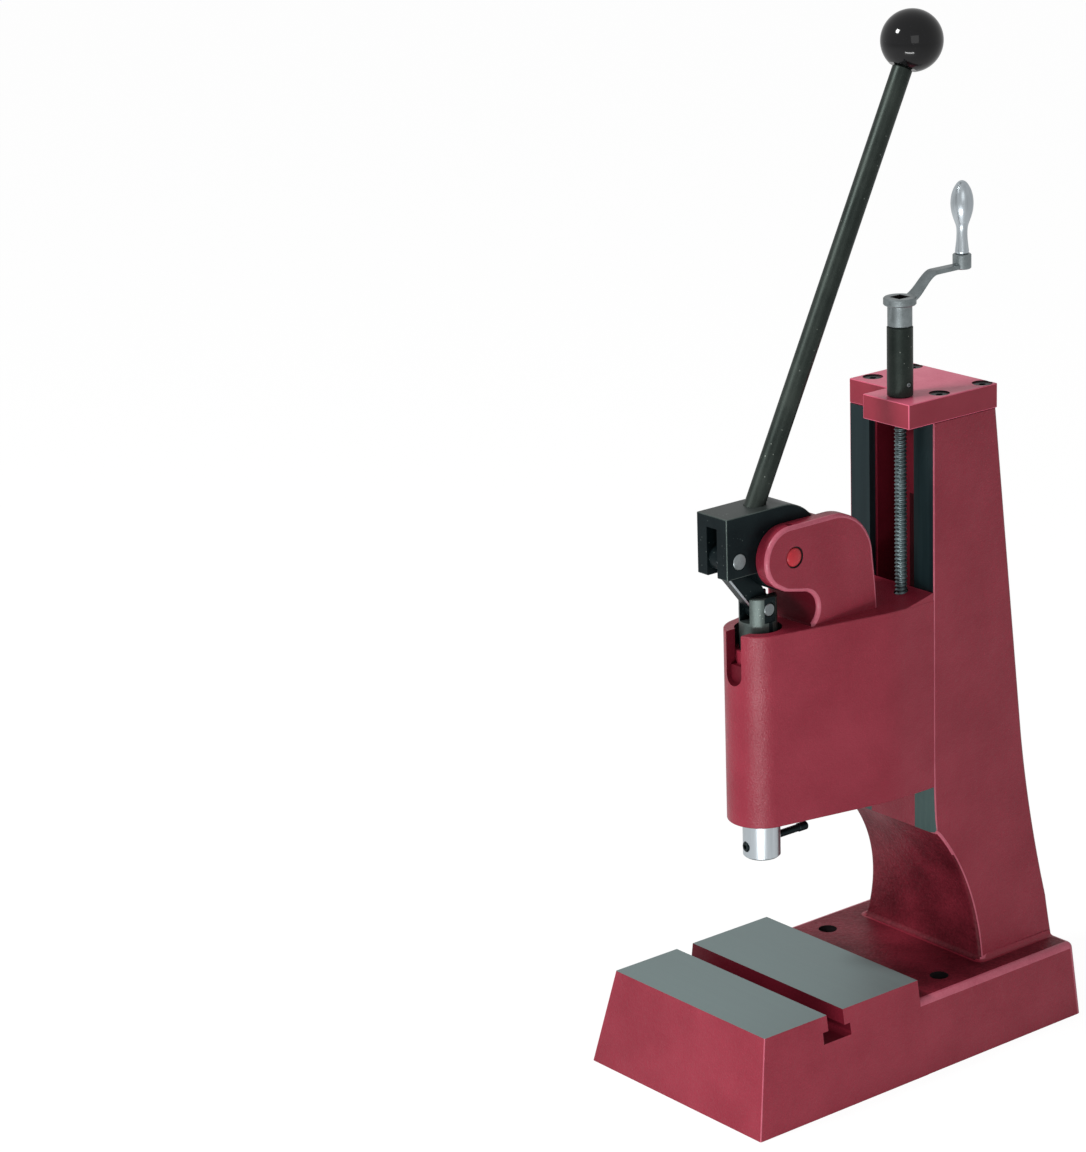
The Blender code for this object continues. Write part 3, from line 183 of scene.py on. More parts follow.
# Lever, link and ram
BLOCK_HALF = 0.016
BLOCK_FRONT = 0.0473
BLOCK_LOW_Z = 0.3945
BLOCK_HIGH_Z = 0.44
BLOCK_RADIUS = 0.0365
EYE_RADIUS = 0.0265
EYE_SLOT_BACK_Y = 0.0935
BLOCK_MOUTH_Y = 0.062
BLOCK_MOUTH_Z = 0.431
BLOCK_SLOT_Y = 0.0863
BLOCK_SLOT_Z = 0.4246
SLOT_HALF = 0.00545
LINK_HALF = 0.00515
LEVER_LEAN = math.radians(26.7)
LEVER_AXIS = Vector((0, math.sin(LEVER_LEAN), math.cos(LEVER_LEAN)))
LEVER_SWING = 1.521380
RAM_STROKE = 0.053980
LINK_SWING = 0.734666
LEVER_ENTRY = (0, 0.0886, 0.44)
LEVER_RADIUS = 0.0075
LEVER_LENGTH = 0.3512
KNOB_RADIUS = 0.0228
KNOB_FACE_RADIUS = 0.0105
TOGGLE = (0.0594023, 0.4064298)
TOGGLE_ARM = 0.042
TOGGLE_ANGLE = math.radians(4)
TOGGLE_PIN_RADIUS = 0.006
TOGGLE_WAIST = 0.004
FOOT = (0.09, 0.363154)
FOOT_PIN_RADIUS = 0.0048
LINK_TOP_RADIUS = 0.011
LINK_FOOT_RADIUS = 0.0093
RAM_RADIUS = 0.014
RAM_LOW_Z = 0.1705
RAM_HIGH_Z = 0.372654
RAM_FLAT_HALF = 0.013
RAM_FLAT_LENGTH = 0.019
TOOL_SCREW_RISE = 0.009
TOOL_SCREW_RADIUS = 0.0038
TOOL_SCREW_AZIMUTH = math.radians(-98)
REAR_ROD_RISE = 0.0113
REAR_ROD_RADIUS = 0.0033
REAR_ROD_REACH = 0.0445

# Spring and clamp
SPRING_RADIUS = 0.0163
SPRING_WIRE = 0.0025
SPRING_TURNS = 7
SPRING_LOW_Z = 0.24175
SPRING_HIGH_Z = 0.31605
RING_GROOVE_LOW_Z = 0.3175
RING_GROOVE_HIGH_Z = 0.3203
STUD_Z = {"lower": 0.235, "upper": 0.318}
STUD_RADIUS = 0.005
HEX_RADIUS = 0.0098
NUT_HEIGHT = 0.008
WASHER_RADIUS = 0.01
WASHER_THICKNESS = 0.002
KEEPER_HALF = 0.02
KEEPER_LOW_Z = 0.218
KEEPER_HIGH_Z = 0.335
KEEPER_THICKNESS = 0.009

# Camera, recovered from the photograph's edges
CAMERA_PLACE = (1.8644, -1.7314, 1.1651)
CAMERA_YAW = math.radians(51.96)
CAMERA_PITCH = math.radians(17.27)
CAMERA_ROLL = math.radians(-2.01)
FOCAL_PIXELS = 3614
PICTURE_HEIGHT = 1152
SENSOR_WIDTH = 36


# Materials
def new_group(name, inputs, outputs):
    """An empty node group for an effect that several finishes use."""
    group = bpy.data.node_groups.new(name, "ShaderNodeTree")
    for label, value in inputs:
        kind = "NodeSocketVector" if value is None else "NodeSocketFloat"
        socket = group.interface.new_socket(label, in_out="INPUT", socket_type=kind)
        if value is not None:
            socket.default_value = value
    for label in outputs:
        group.interface.new_socket(label, in_out="OUTPUT", socket_type="NodeSocketFloat")
    return group, group.nodes.new("NodeGroupInput"), group.nodes.new("NodeGroupOutput")


def add_math(tree, operation, first, second):
    node = tree.nodes.new("ShaderNodeMath")
    node.operation = operation
    for socket, value in zip(node.inputs, (first, second)):
        if isinstance(value, bpy.types.NodeSocket):
            tree.links.new(value, socket)
        else:
            socket.default_value = value
    return node.outputs["Value"]


def add_noise(tree, vector, scale, detail=2.0, roughness=0.5):
    node = tree.nodes.new("ShaderNodeTexNoise")
    tree.links.new(vector, node.inputs["Vector"])
    if isinstance(scale, bpy.types.NodeSocket):
        tree.links.new(scale, node.inputs["Scale"])
    else:
        node.inputs["Scale"].default_value = scale
    node.inputs["Detail"].default_value = detail
    node.inputs["Roughness"].default_value = roughness
    return node.outputs["Fac"]


def cast_skin_group():
    """Sand-cast skin under paint: fine grain, shallow lumps and slow changes of tone."""
    group, entry, leave = new_group(
        "cast skin", (("Vector", None), ("Grain", 620.0), ("Lumps", 150.0), ("Patches", 22.0)),
        ("Height", "Tone"))
    grain = add_noise(group, entry.outputs["Vector"], entry.outputs["Grain"], 3.0, 0.6)
    lumps = add_noise(group, entry.outputs["Vector"], entry.outputs["Lumps"])
    patches = add_noise(group, entry.outputs["Vector"], entry.outputs["Patches"], 3.0)
    height = add_math(group, "ADD", add_math(group, "MULTIPLY", grain, 0.45),
        add_math(group, "MULTIPLY", lumps, 0.55))
    speckle = add_math(group, "MULTIPLY", add_math(group, "SUBTRACT", grain, 0.5), 0.5)
    group.links.new(height, leave.inputs["Height"])
    group.links.new(add_math(group, "ADD", patches, speckle), leave.inputs["Tone"])
    return group


def tool_mark_group():
    """Fine lines that a cutter or grinding wheel leaves; the vector is stretched along them."""
    group, entry, leave = new_group(
        "tool marks", (("Vector", None), ("Lines", 1.0), ("Bands", 0.12)), ("Height", "Tone"))
    lines = add_noise(group, entry.outputs["Vector"], entry.outputs["Lines"], 3.0, 0.7)
    bands = add_noise(group, entry.outputs["Vector"], entry.outputs["Bands"], 2.0)
    group.links.new(lines, leave.inputs["Height"])
    mixed = add_math(group, "ADD", add_math(group, "MULTIPLY", lines, 0.35),
        add_math(group, "MULTIPLY", bands, 0.65))
    group.links.new(mixed, leave.inputs["Tone"])
    return group


def speck_group():
    """Small pale specks, as dust and rubbed spots on dark oxide."""
    group, entry, leave = new_group("specks", (("Vector", None), ("Spacing", 260.0), ("Size", 0.12)),
        ("Mask",))
    cells = group.nodes.new("ShaderNodeTexVoronoi")
    group.links.new(entry.outputs["Vector"], cells.inputs["Vector"])
    group.links.new(entry.outputs["Spacing"], cells.inputs["Scale"])
    near = add_math(group, "LESS_THAN", cells.outputs["Distance"], entry.outputs["Size"])
    thin = add_noise(group, entry.outputs["Vector"], 46.0)
    group.links.new(add_math(group, "MULTIPLY", near, add_math(group, "GREATER_THAN", thin, 0.52)),
        leave.inputs["Mask"])
    return group


CAST_SKIN = cast_skin_group()
TOOL_MARKS = tool_mark_group()
SPECKS = speck_group()


def new_material(name, metallic, specular):
    """A material with its shader's even values set, and the object's coordinates."""
    material = bpy.data.materials.new(name)
    material.use_nodes = True
    tree = material.node_tree
    shader = tree.nodes["Principled BSDF"]
    shader.inputs["Metallic"].default_value = metallic
    shader.inputs["Specular IOR Level"].default_value = specular
    place = tree.nodes.new("ShaderNodeTexCoord")
    return material, tree, shader, place.outputs["Object"]


def use_group(tree, group, vector, **values):
    node = tree.nodes.new("ShaderNodeGroup")
    node.node_tree = group
    tree.links.new(vector, node.inputs["Vector"])
    for label, value in values.items():
        node.inputs[label].default_value = value
    return node


def add_blend(tree, factor, first, second):
    """Mix two colours, each a plain colour or a socket, by a factor."""
    node = tree.nodes.new("ShaderNodeMix")
    node.data_type = "RGBA"
    tree.links.new(factor, node.inputs["Factor"])
    for socket, colour in zip(node.inputs[6:8], (first, second)):
        if isinstance(colour, bpy.types.NodeSocket):
            tree.links.new(colour, socket)
        else:
            socket.default_value = (*colour, 1)
    return node.outputs[2]


def add_range(tree, value, low, high, from_low=0.3, from_high=0.7):
    node = tree.nodes.new("ShaderNodeMapRange")
    tree.links.new(value, node.inputs["Value"])
    node.inputs["From Min"].default_value = from_low
    node.inputs["From Max"].default_value = from_high
    node.inputs["To Min"].default_value = low
    node.inputs["To Max"].default_value = high
    return node.outputs["Result"]


def two_tone(tree, effect, dark, light):
    return add_blend(tree, add_range(tree, effect.outputs["Tone"], 0, 1), dark, light)


def cover(tree, shader, effect, colour, start_roughness, end_roughness, depth):
    """Give the shader a colour, and a roughness and bumps that follow the effect."""
    tree.links.new(colour, shader.inputs["Base Color"])
    tree.links.new(add_range(tree, effect.outputs["Tone"], start_roughness, end_roughness),
        shader.inputs["Roughness"])
    node = tree.nodes.new("ShaderNodeBump")
    node.inputs["Distance"].default_value = depth
    tree.links.new(effect.outputs["Height"], node.inputs["Height"])
    tree.links.new(node.outputs["Normal"], shader.inputs["Normal"])


def paint(name, dark, light, roughness, depth=0.00022, grain=620.0, specular=0.35):
    """Enamel over a cast skin."""
    material, tree, shader, place = new_material(name, 0.0, specular)
    skin = use_group(tree, CAST_SKIN, place, Grain=grain)
    cover(tree, shader, skin, two_tone(tree, skin, dark, light), roughness + 0.05, roughness - 0.05, depth)
    return material


def metal(name, dark, light, metallic, roughness, stretch, depth=0.00003):
    """Machined metal. The stretch is how many lines there are to a metre along X, Y and Z."""
    material, tree, shader, place = new_material(name, metallic, 0.25)
    mapping = tree.nodes.new("ShaderNodeMapping")
    mapping.inputs["Scale"].default_value = stretch
    tree.links.new(place, mapping.inputs["Vector"])
    marks = use_group(tree, TOOL_MARKS, mapping.outputs["Vector"])
    cover(tree, shader, marks, two_tone(tree, marks, dark, light), roughness - 0.05, roughness + 0.07, depth)
    return material


def oxide(name, dark, light, speck, roughness, metallic=0.55):
    """Black oxide on steel, with a fine skin and pale specks."""
    material, tree, shader, place = new_material(name, metallic, 0.15)
    skin = use_group(tree, CAST_SKIN, place, Grain=900.0, Lumps=240.0, Patches=38.0)
    specks = use_group(tree, SPECKS, place)
    colour = add_blend(tree, specks.outputs["Mask"], two_tone(tree, skin, dark, light), speck)
    cover(tree, shader, skin, colour, roughness - 0.06, roughness + 0.08, 0.00005)
    return material


def moulded(name, dark, light):
    """Glossy moulded plastic with the faintest unevenness."""
    material, tree, shader, place = new_material(name, 0.0, 0.32)
    skin = use_group(tree, CAST_SKIN, place, Grain=300.0, Lumps=60.0)
    cover(tree, shader, skin, add_blend(tree, skin.outputs["Tone"], dark, light), 0.07, 0.12, 0.000004)
    return material


PAINT = paint("wine red enamel", (0.240, 0.0145, 0.033), (0.295, 0.024, 0.047), 0.35, 0.0007, 760.0)
# Painted shade: darker enamel for the arch and the deck top, where the head's shadow falls.
PAINTED_SHADE = paint("wine red enamel with painted shade under the head", (0.078, 0.0048, 0.0105), (0.218, 0.021, 0.037), 0.45,
    0.0008,
    420.0, 0.15)
# Painted highlight: lighter pink enamel on rounded edges, for the light that catches them.
PAINTED_EDGE_HIGHLIGHT = paint("wine red enamel with painted highlight on edges", (0.44, 0.085, 0.130), (0.56, 0.140, 0.195), 0.34, 0.00008)
PAINT_SMOOTH = paint("wine red enamel on plate", (0.26, 0.018, 0.038), (0.30, 0.027, 0.050), 0.36, 0.00006,
    900.0)
# Painted light: much lighter enamel for the plate's top and edges, where light from above falls.
PAINTED_TOP_LIGHT = paint("wine red enamel with painted light on plate top", (0.66, 0.11, 0.19), (0.78, 0.15, 0.24), 0.36, 0.00008)
# Painted shade: darker enamel for slots, the column's channel and the room between the ears.
PAINTED_RECESS_SHADE = paint("wine red enamel with painted shade in recesses", (0.095, 0.005, 0.012), (0.135, 0.009, 0.019), 0.5,
    specular=0.12)
PIN_RED = paint("bright red enamel", (0.44, 0.018, 0.030), (0.54, 0.030, 0.045), 0.3, 0.00005, 900.0)
TABLE_STEEL = metal("ground table", (0.190, 0.252, 0.252), (0.216, 0.284, 0.282), 0.35, 0.42,
    (60, 2600, 60), 0.00001)
# Painted shade and light on the guide strips: a near-black copy of the ground steel, and a lighter lit copy
# below the head.
GUIDE_IN_PAINTED_SHADE = metal("ground guide steel in painted shade", (0.007, 0.018, 0.022), (0.015, 0.033, 0.037), 0.35, 0.36,
    (1800, 1800, 60))
GUIDE_LIT_BELOW_HEAD = metal("guide steel lit below the head", (0.050, 0.095, 0.092), (0.085, 0.140, 0.132), 0.35, 0.42, (1800, 1800, 60))
TURNED_STEEL = metal("turned steel", (0.32, 0.36, 0.385), (0.66, 0.72, 0.76), 1.0, 0.30, (420, 420, 10),
    0.00001)
SATIN_STEEL = metal("satin steel", (0.16, 0.185, 0.19), (0.30, 0.34, 0.35), 0.8, 0.36, (900, 900, 900),
    0.00004)
THREAD_STEEL = metal("threaded steel", (0.07, 0.10, 0.105), (0.17, 0.22, 0.23), 0.8, 0.34, (300, 300, 2600))
# Painted shade: near black for the walls of bores, holes and sockets.
PAINTED_BORE_SHADE = metal("bore wall in painted shade", (0.016, 0.014, 0.015), (0.034, 0.026, 0.028), 0.3, 0.4, (300, 300, 2600))
BRONZE = metal("turned bronze", (0.38, 0.24, 0.10), (0.52, 0.35, 0.16), 0.9, 0.34, (300, 300, 2600))
OXIDE = oxide("black oxide", (0.004, 0.009, 0.011), (0.009, 0.017, 0.019), (0.07, 0.09, 0.085), 0.36)
OXIDE_BAR = oxide("black oxide on lever", (0.020, 0.027, 0.024), (0.040, 0.050, 0.044), (0.17, 0.19, 0.17),
    0.42)
# Lighter oxide: worn edges on the block and the keeper, and painted shade on the ram's top inside the head.
OXIDE_WEAR_AND_SHADE = oxide("worn oxide edge and painted shade", (0.045, 0.060, 0.056), (0.10, 0.125, 0.118), (0.20, 0.23, 0.22), 0.34,
    0.7)
# Painted light: a lighter oxide for the block's top face, where light from above falls.
OXIDE_PAINTED_TOP_LIGHT = oxide("black oxide with painted light on top", (0.034, 0.043, 0.041), (0.062, 0.073, 0.069), (0.14, 0.16, 0.15), 0.4)
BALL_BLACK = moulded("black moulded plastic", (0.004, 0.004, 0.0045), (0.008, 0.008, 0.009))
SPRING_STEEL = metal("spring steel", (0.16, 0.17, 0.19), (0.28, 0.30, 0.32), 0.9, 0.32, (900, 900, 900))


# Modelling by hand
def edit(obj):
    """Go into edit mode on one object with nothing else chosen."""
    bpy.ops.object.select_all(action="DESELECT")
    obj.select_set(True)
    bpy.context.view_layer.objects.active = obj
    bpy.ops.object.mode_set(mode="EDIT")


def leave():
    bpy.ops.object.mode_set(mode="OBJECT")


def select_all():
    bpy.ops.mesh.select_all(action="SELECT")


def choose(kind, test):
    """Select the faces or edges that pass a test; returns how many."""
    bpy.ops.mesh.select_mode(type=kind)
    bpy.ops.mesh.select_all(action="DESELECT")
    shape = bmesh.from_edit_mesh(bpy.context.object.data)
    chosen = [item for item in (shape.faces if kind == "FACE" else shape.edges) if test(item)]
    for item in chosen:
        item.select_set(True)
    bmesh.update_edit_mesh(bpy.context.object.data)
    return len(chosen)


def give_slots(obj, materials):
    for material in materials:
        obj.data.materials.append(material)
    return obj


def arc(middle, radius, start, end, steps=ARC_STEPS):
    """Points on an arc, with angles in degrees."""
    points = []
    for step in range(steps + 1):
        angle = math.radians(start + (end - start) * step / steps)
        points.append((middle[0] + radius * math.cos(angle), middle[1] + radius * math.sin(angle)))
    return points


def slab(outline, low, high, lie, materials=(PAINT,)):
    """A flat outline drawn in plan, side or front view, and extruded from low to high."""
    bpy.ops.mesh.primitive_circle_add(vertices=len(outline), radius=1, fill_type="NGON")
    obj = give_slots(bpy.context.object, materials)
    across = {"side": 0, "front": 1, "plan": 2}[lie]
    for vertex, point in zip(obj.data.vertices, outline):
        place = list(point)
        place.insert(across, low)
        vertex.co = place
    travel = [0, 0, 0]
    travel[across] = high - low
    edit(obj)
    select_all()
    bpy.ops.mesh.extrude_region_move(TRANSFORM_OT_translate={"value": travel})
    select_all()
    bpy.ops.mesh.normals_make_consistent(inside=False)
    leave()
    return obj


def block(low, high, materials=(PAINT,)):
    outline = [(low[0], low[1]), (high[0], low[1]), (high[0], high[1]), (low[0], high[1])]
    return slab(outline, low[2], high[2], "plan", materials)


def turned(profile, place=(0, 0, 0), axis=Z_AXIS, sides=ROUND, through=False, materials=(TURNED_STEEL,)):
    """Draw a profile of (radius, height) up from its foot, ring by ring, about an axis."""
    radius, height = profile[0]
    bpy.ops.mesh.primitive_circle_add(vertices=sides, radius=radius, fill_type="NGON")
    obj = give_slots(bpy.context.object, materials)
    edit(obj)
    select_all()
    bpy.ops.transform.translate(value=(0, 0, height))
    for next_radius, next_height in profile[1:]:
        bpy.ops.mesh.extrude_region_move(TRANSFORM_OT_translate={"value": (0, 0, next_height - height)})
        share = next_radius / radius
        bpy.ops.transform.resize(value=(share, share, 1), center_override=(0, 0, next_height))
        radius, height = next_radius, next_height
    if through:
        choose("FACE", lambda face: len(face.verts) > 4)
        bpy.ops.mesh.bridge_edge_loops()
    select_all()
    bpy.ops.mesh.normals_make_consistent(inside=False)
    leave()
    turn = axis.to_track_quat("Z", "Y").to_matrix().to_4x4()
    obj.data.transform(Matrix.Translation(place) @ turn)
    return obj


def rod(start, end, radius, sides=SMALL_ROUND, materials=(PAINT,)):
    """A plain round bar between two points, mostly used to bore holes."""
    start, end = Vector(start), Vector(end)
    length = (end - start).length
    return turned([(radius, 0), (radius, length)], start, end - start, sides, materials=materials)


def chamfered(radius, low, high, edge, place, axis=Z_AXIS, sides=ROUND, materials=(TURNED_STEEL,)):
    profile = [(radius - edge, low), (radius, low + edge), (radius, high - edge), (radius - edge, high)]
    return turned(profile, place, axis, sides, materials=materials)


def combine(target, others, operation):
    for other in others:
        modifier = target.modifiers.new("Combine", "BOOLEAN")
        modifier.operation = operation
        modifier.solver = "EXACT"
        modifier.object = other
        bpy.context.view_layer.objects.active = target
        bpy.ops.object.modifier_apply(modifier=modifier.name)
        bpy.data.objects.remove(other, do_unlink=True)
    return target


def cut(target, *others):
    return combine(target, others, "DIFFERENCE")


def fuse(target, *others):
    return combine(target, others, "UNION")


def tidy(obj):
    """Merge points that a cut left on top of each other and join faces that lie in one plane."""
    edit(obj)
    select_all()
    bpy.ops.mesh.remove_doubles(threshold=WELD)
    bpy.ops.mesh.dissolve_limited(angle_limit=math.radians(0.4), delimit={"MATERIAL"})
    bpy.ops.mesh.fill_holes(sides=4)
    leave()
    return obj


def close_ends():
    """Weld a wound shape in edit mode, close its two ends and leave edit mode."""
    select_all()
    bpy.ops.mesh.remove_doubles(threshold=WELD)
    bpy.ops.mesh.fill_holes(sides=0)
    select_all()
    bpy.ops.mesh.normals_make_consistent(inside=False)
    leave()


def round_edges(obj, width, segments=3, test=None, slot=-1, concave=False):
    """Round the sharp edges that pass a test. The slot is the material of the new faces."""
    def wanted(edge):
        if len(edge.link_faces) != 2 or edge.calc_face_angle(0) < SHARP:
            return False
        if (edge.calc_face_angle_signed(0) < 0) != concave:
            return False
        return test is None or test((edge.verts[0].co + edge.verts[1].co) / 2)

    edit(obj)
    if choose("EDGE", wanted):
        bpy.ops.mesh.bevel(offset=width, segments=segments, affect="EDGES", profile=0.5, material=slot)
    leave()
    return obj


def paint_faces(obj, slot, test):
    """Give the faces that pass a test of their middle and normal another material."""
    for face in obj.data.polygons:
        if test(face.center, face.normal):
            face.material_index = slot


def finish(obj, name, body, nodes):
    """Name a piece, shade it, move it to its place and hang it on its body."""
    obj.name = obj.data.name = name
    bpy.ops.object.select_all(action="DESELECT")
    obj.select_set(True)
    bpy.context.view_layer.objects.active = obj
    bpy.ops.object.shade_smooth_by_angle(angle=SHARP)
    modifier = obj.modifiers.new("Even shading", "WEIGHTED_NORMAL")
    modifier.keep_sharp = True
    bpy.ops.object.modifier_apply(modifier=modifier.name)
    obj.data.transform(Matrix.Translation((0, -HALF_LENGTH, 0)))
    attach(obj, body)
    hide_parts(*nodes)
    return obj


# Frame casting
def drafted(low, high, side_draft, front_draft, materials):
    """A block whose sides and front lean in towards its top."""
    obj = block(low, high, materials)
    edit(obj)
    choose("FACE", lambda face: face.normal.z > 0.9)
    middle = (0, (low[1] + high[1]) / 2, high[2])
    bpy.ops.transform.resize(value=(1 - side_draft / high[0], 1, 1), center_override=middle)
    if front_draft:
        choose("EDGE", lambda edge: all(v.co.z > high[2] - WELD
                and v.co.y < low[1] + WELD for v in edge.verts))
        bpy.ops.transform.translate(value=(0, front_draft, 0))
    leave()
    return obj


def column(materials):
    """Column with an arched foot and sides that flare down to the deck."""
    rise = ARCH_TOP_Z - ARCH_MIDDLE_Z
    radius = (ARCH_DEPTH ** 2 + rise ** 2) / (2 * ARCH_DEPTH)
    middle = (COLUMN_FRONT + ARCH_DEPTH - radius, ARCH_MIDDLE_Z)
    foot_z = DECK_Z - COLUMN_ROOT
    top_angle = math.degrees(math.asin(rise / radius))
    foot_angle = math.degrees(math.asin((foot_z - ARCH_MIDDLE_Z) / radius))
    back = BASE_LENGTH - 2 * GAP
    lean_foot_z = COLUMN_TOP - (back - COLUMN_BACK) / COLUMN_LEAN
    outline = [(COLUMN_FRONT, COLUMN_TOP)] + arc(middle, radius, top_angle, foot_angle, 2 * ARC_STEPS)
    outline += [(back, foot_z), (back, lean_foot_z), (COLUMN_BACK, COLUMN_TOP)]
    wide = COLUMN_HALF + FLARE_WIDTH
    body = slab(outline, -wide, wide, "side", materials)
    drop = FLARE_TOP_Z - DECK_Z
    flare_radius = (FLARE_WIDTH ** 2 + drop ** 2) / (2 * FLARE_WIDTH)
    low_angle = math.degrees(math.asin((drop + COLUMN_ROOT) / flare_radius))
    reach = wide + FLARE_WIDTH
    for side in (-1, 1):
        curve = [(COLUMN_HALF, COLUMN_TOP + OVER)]
        curve += arc((COLUMN_HALF + flare_radius, FLARE_TOP_Z), flare_radius, 180, 180 + low_angle)
        curve += [(reach, foot_z - OVER), (reach, COLUMN_TOP + OVER)]
        cut(body, slab([(side * x, z) for x, z in curve], COLUMN_FRONT - OVER, BASE_LENGTH + OVER, "front"))
    tidy(body)
    # Edges round the arch and the flared foot get the lighter enamel as a painted highlight.
    round_edges(body, 0.0032, 4, lambda place: place.y < COLUMN_BACK - OVER and place.z < ARCH_TOP_Z, 1)
    round_edges(body, 0.003, 4, lambda place: place.y > COLUMN_BACK - GAP and abs(place.x) > POCKET_HALF
        and foot_z + GAP < place.z < COLUMN_TOP - GAP)
    # The guide strips' outer edges get it too, as a thin painted highlight.
    round_edges(body, 0.0009, 2, lambda place: place.y < COLUMN_FRONT + GAP and place.z > ARCH_TOP_Z
        and abs(place.x) > GUIDE_HALF, 1)
    return body


def frame_casting():
    materials = (PAINT, PAINTED_EDGE_HIGHLIGHT, TABLE_STEEL, GUIDE_IN_PAINTED_SHADE, GUIDE_LIT_BELOW_HEAD, PAINTED_BORE_SHADE, PAINTED_RECESS_SHADE, PAINTED_SHADE)
    table = drafted((-BASE_HALF, 0, 0), (BASE_HALF, TABLE_LENGTH, TABLE_Z), SIDE_DRAFT, FRONT_DRAFT,
        materials)
    # The table's front vertical edges get the lighter enamel as a painted highlight.
    round_edges(table, 0.0007, 2, lambda place: GAP < place.z < TABLE_Z - GAP
        and place.y < TABLE_LENGTH / 2, 1)
    deck = drafted((GAP - BASE_HALF, 2 * FRONT_DRAFT, 0), (BASE_HALF - GAP, BASE_LENGTH, DECK_Z),
        SIDE_DRAFT * DECK_Z / TABLE_Z, 0, materials)
    # The deck's rounded top edges get the lighter enamel as a painted highlight.
    round_edges(deck, DECK_EDGE, 5, lambda place: place.z > DECK_Z / 2 and place.y > TABLE_LENGTH / 2, 1)
    body = fuse(table, deck, column(materials))
    tidy(body)
    round_edges(body, 0.004, 4, lambda place: abs(place.z - DECK_Z) < GAP and place.y > BOLT_Y, concave=True)
    reach = BASE_HALF + OVER
    cut(body,
        block((-reach, SLOT_Y - SLOT_FOOT_HALF, SLOT_FOOT_Z), (reach, SLOT_Y + SLOT_FOOT_HALF, SLOT_NECK_Z)),
        block((-reach, SLOT_Y - SLOT_NECK_HALF, SLOT_NECK_Z - SINK),
            (reach, SLOT_Y + SLOT_NECK_HALF, TABLE_Z + OVER)))
    for side in (-1, 1):
        cut(body, rod((side * BOLT_X, BOLT_Y, -OVER), (side * BOLT_X, BOLT_Y, DECK_Z + OVER), BOLT_RADIUS))
    top = COLUMN_TOP + OVER
    pocket = block((-POCKET_HALF, WEB_BACK, POCKET_LOW_Z), (POCKET_HALF, BASE_LENGTH + OVER, POCKET_HIGH_Z))
    round_edges(pocket, 0.003, 4)
    cut(body,
        block((-GUIDE_HALF, COLUMN_FRONT - OVER, CHANNEL_BOTTOM_Z), (GUIDE_HALF, GUIDE_BACK, top)),
        block((-CHANNEL_HALF, COLUMN_FRONT, CHANNEL_BOTTOM_Z), (CHANNEL_HALF, WEB_FRONT, top)),
        pocket,
        block((-WEB_SLOT_HALF, WEB_FRONT - OVER, CHANNEL_BOTTOM_Z - SINK),
            (WEB_SLOT_HALF, WEB_BACK + OVER, WEB_SLOT_TOP_Z)))
    for x, y in COVER_SCREWS:
        cut(body, rod((x, y, PLATE_HIGH_Z - SCREW_LENGTH - SINK), (x, y, top), SCREW_RADIUS + GAP))
    tidy(body)
    edit(body)
    for place, across in (((-GUIDE_HALF, 0, 0), X_AXIS), ((GUIDE_HALF, 0, 0), X_AXIS),
            ((0, 0, HEAD_LOW_Z), Z_AXIS)):
        choose("FACE", lambda face: face.normal.y < -0.99
            and face.calc_center_median().y < COLUMN_FRONT + GAP)
        bpy.ops.mesh.bisect(plane_co=place, plane_no=across)
    leave()

    def guide_face(middle, normal):
        return normal.y < -0.99 and abs(middle.y - COLUMN_FRONT) < GAP and abs(middle.x) > GUIDE_HALF

    paint_faces(body, 2, lambda at, out: out.z > 0.99 and abs(at.z - TABLE_Z) < GAP)
    # Guide strips and the channel's machined sides: near-black steel as painted shade, with the lighter lit
    # copy below the head.
    paint_faces(body, 3, guide_face)
    paint_faces(body, 4, lambda at, out: guide_face(at, out) and at.z < HEAD_LOW_Z)
    paint_faces(body, 3, lambda at, out: abs(out.x) > 0.99 and abs(abs(at.x) - GUIDE_HALF) < GAP
        and at.z > CHANNEL_BOTTOM_Z and at.y < GUIDE_BACK)
    # Bolt holes: near black as painted shade.
    paint_faces(body, 5, lambda at, out: abs(math.hypot(abs(at.x) - BOLT_X, at.y - BOLT_Y)
            - BOLT_RADIUS) < GAP and abs(out.z) < 0.1)
    # T-slot walls and the column's channel: darker enamel as painted shade.
    paint_faces(body, 6, lambda at, out: abs(at.y - SLOT_Y) < SLOT_FOOT_HALF + GAP
        and SLOT_FOOT_Z - GAP < at.z < TABLE_Z - GAP and abs(out.x) < 0.5)
    paint_faces(body, 6, lambda at, out: abs(at.x) < CHANNEL_HALF + GAP and at.z > CHANNEL_BOTTOM_Z
        and COLUMN_FRONT + GAP < at.y < WEB_BACK + GAP)
    # Arch faces and deck top: darker enamel as painted shade, where the head's shadow falls.
    paint_faces(body, 7, lambda at, out: out.y < -0.5 and abs(at.x) < COLUMN_HALF + FLARE_WIDTH
        and at.y > COLUMN_FRONT + GAP and DECK_Z < at.z < ARCH_TOP_Z)
    paint_faces(body, 7, lambda at, out: out.z > 0.99 and abs(at.z - DECK_Z) < GAP)
    return finish(body, "press_casting", "frame", ["frame_casting"])


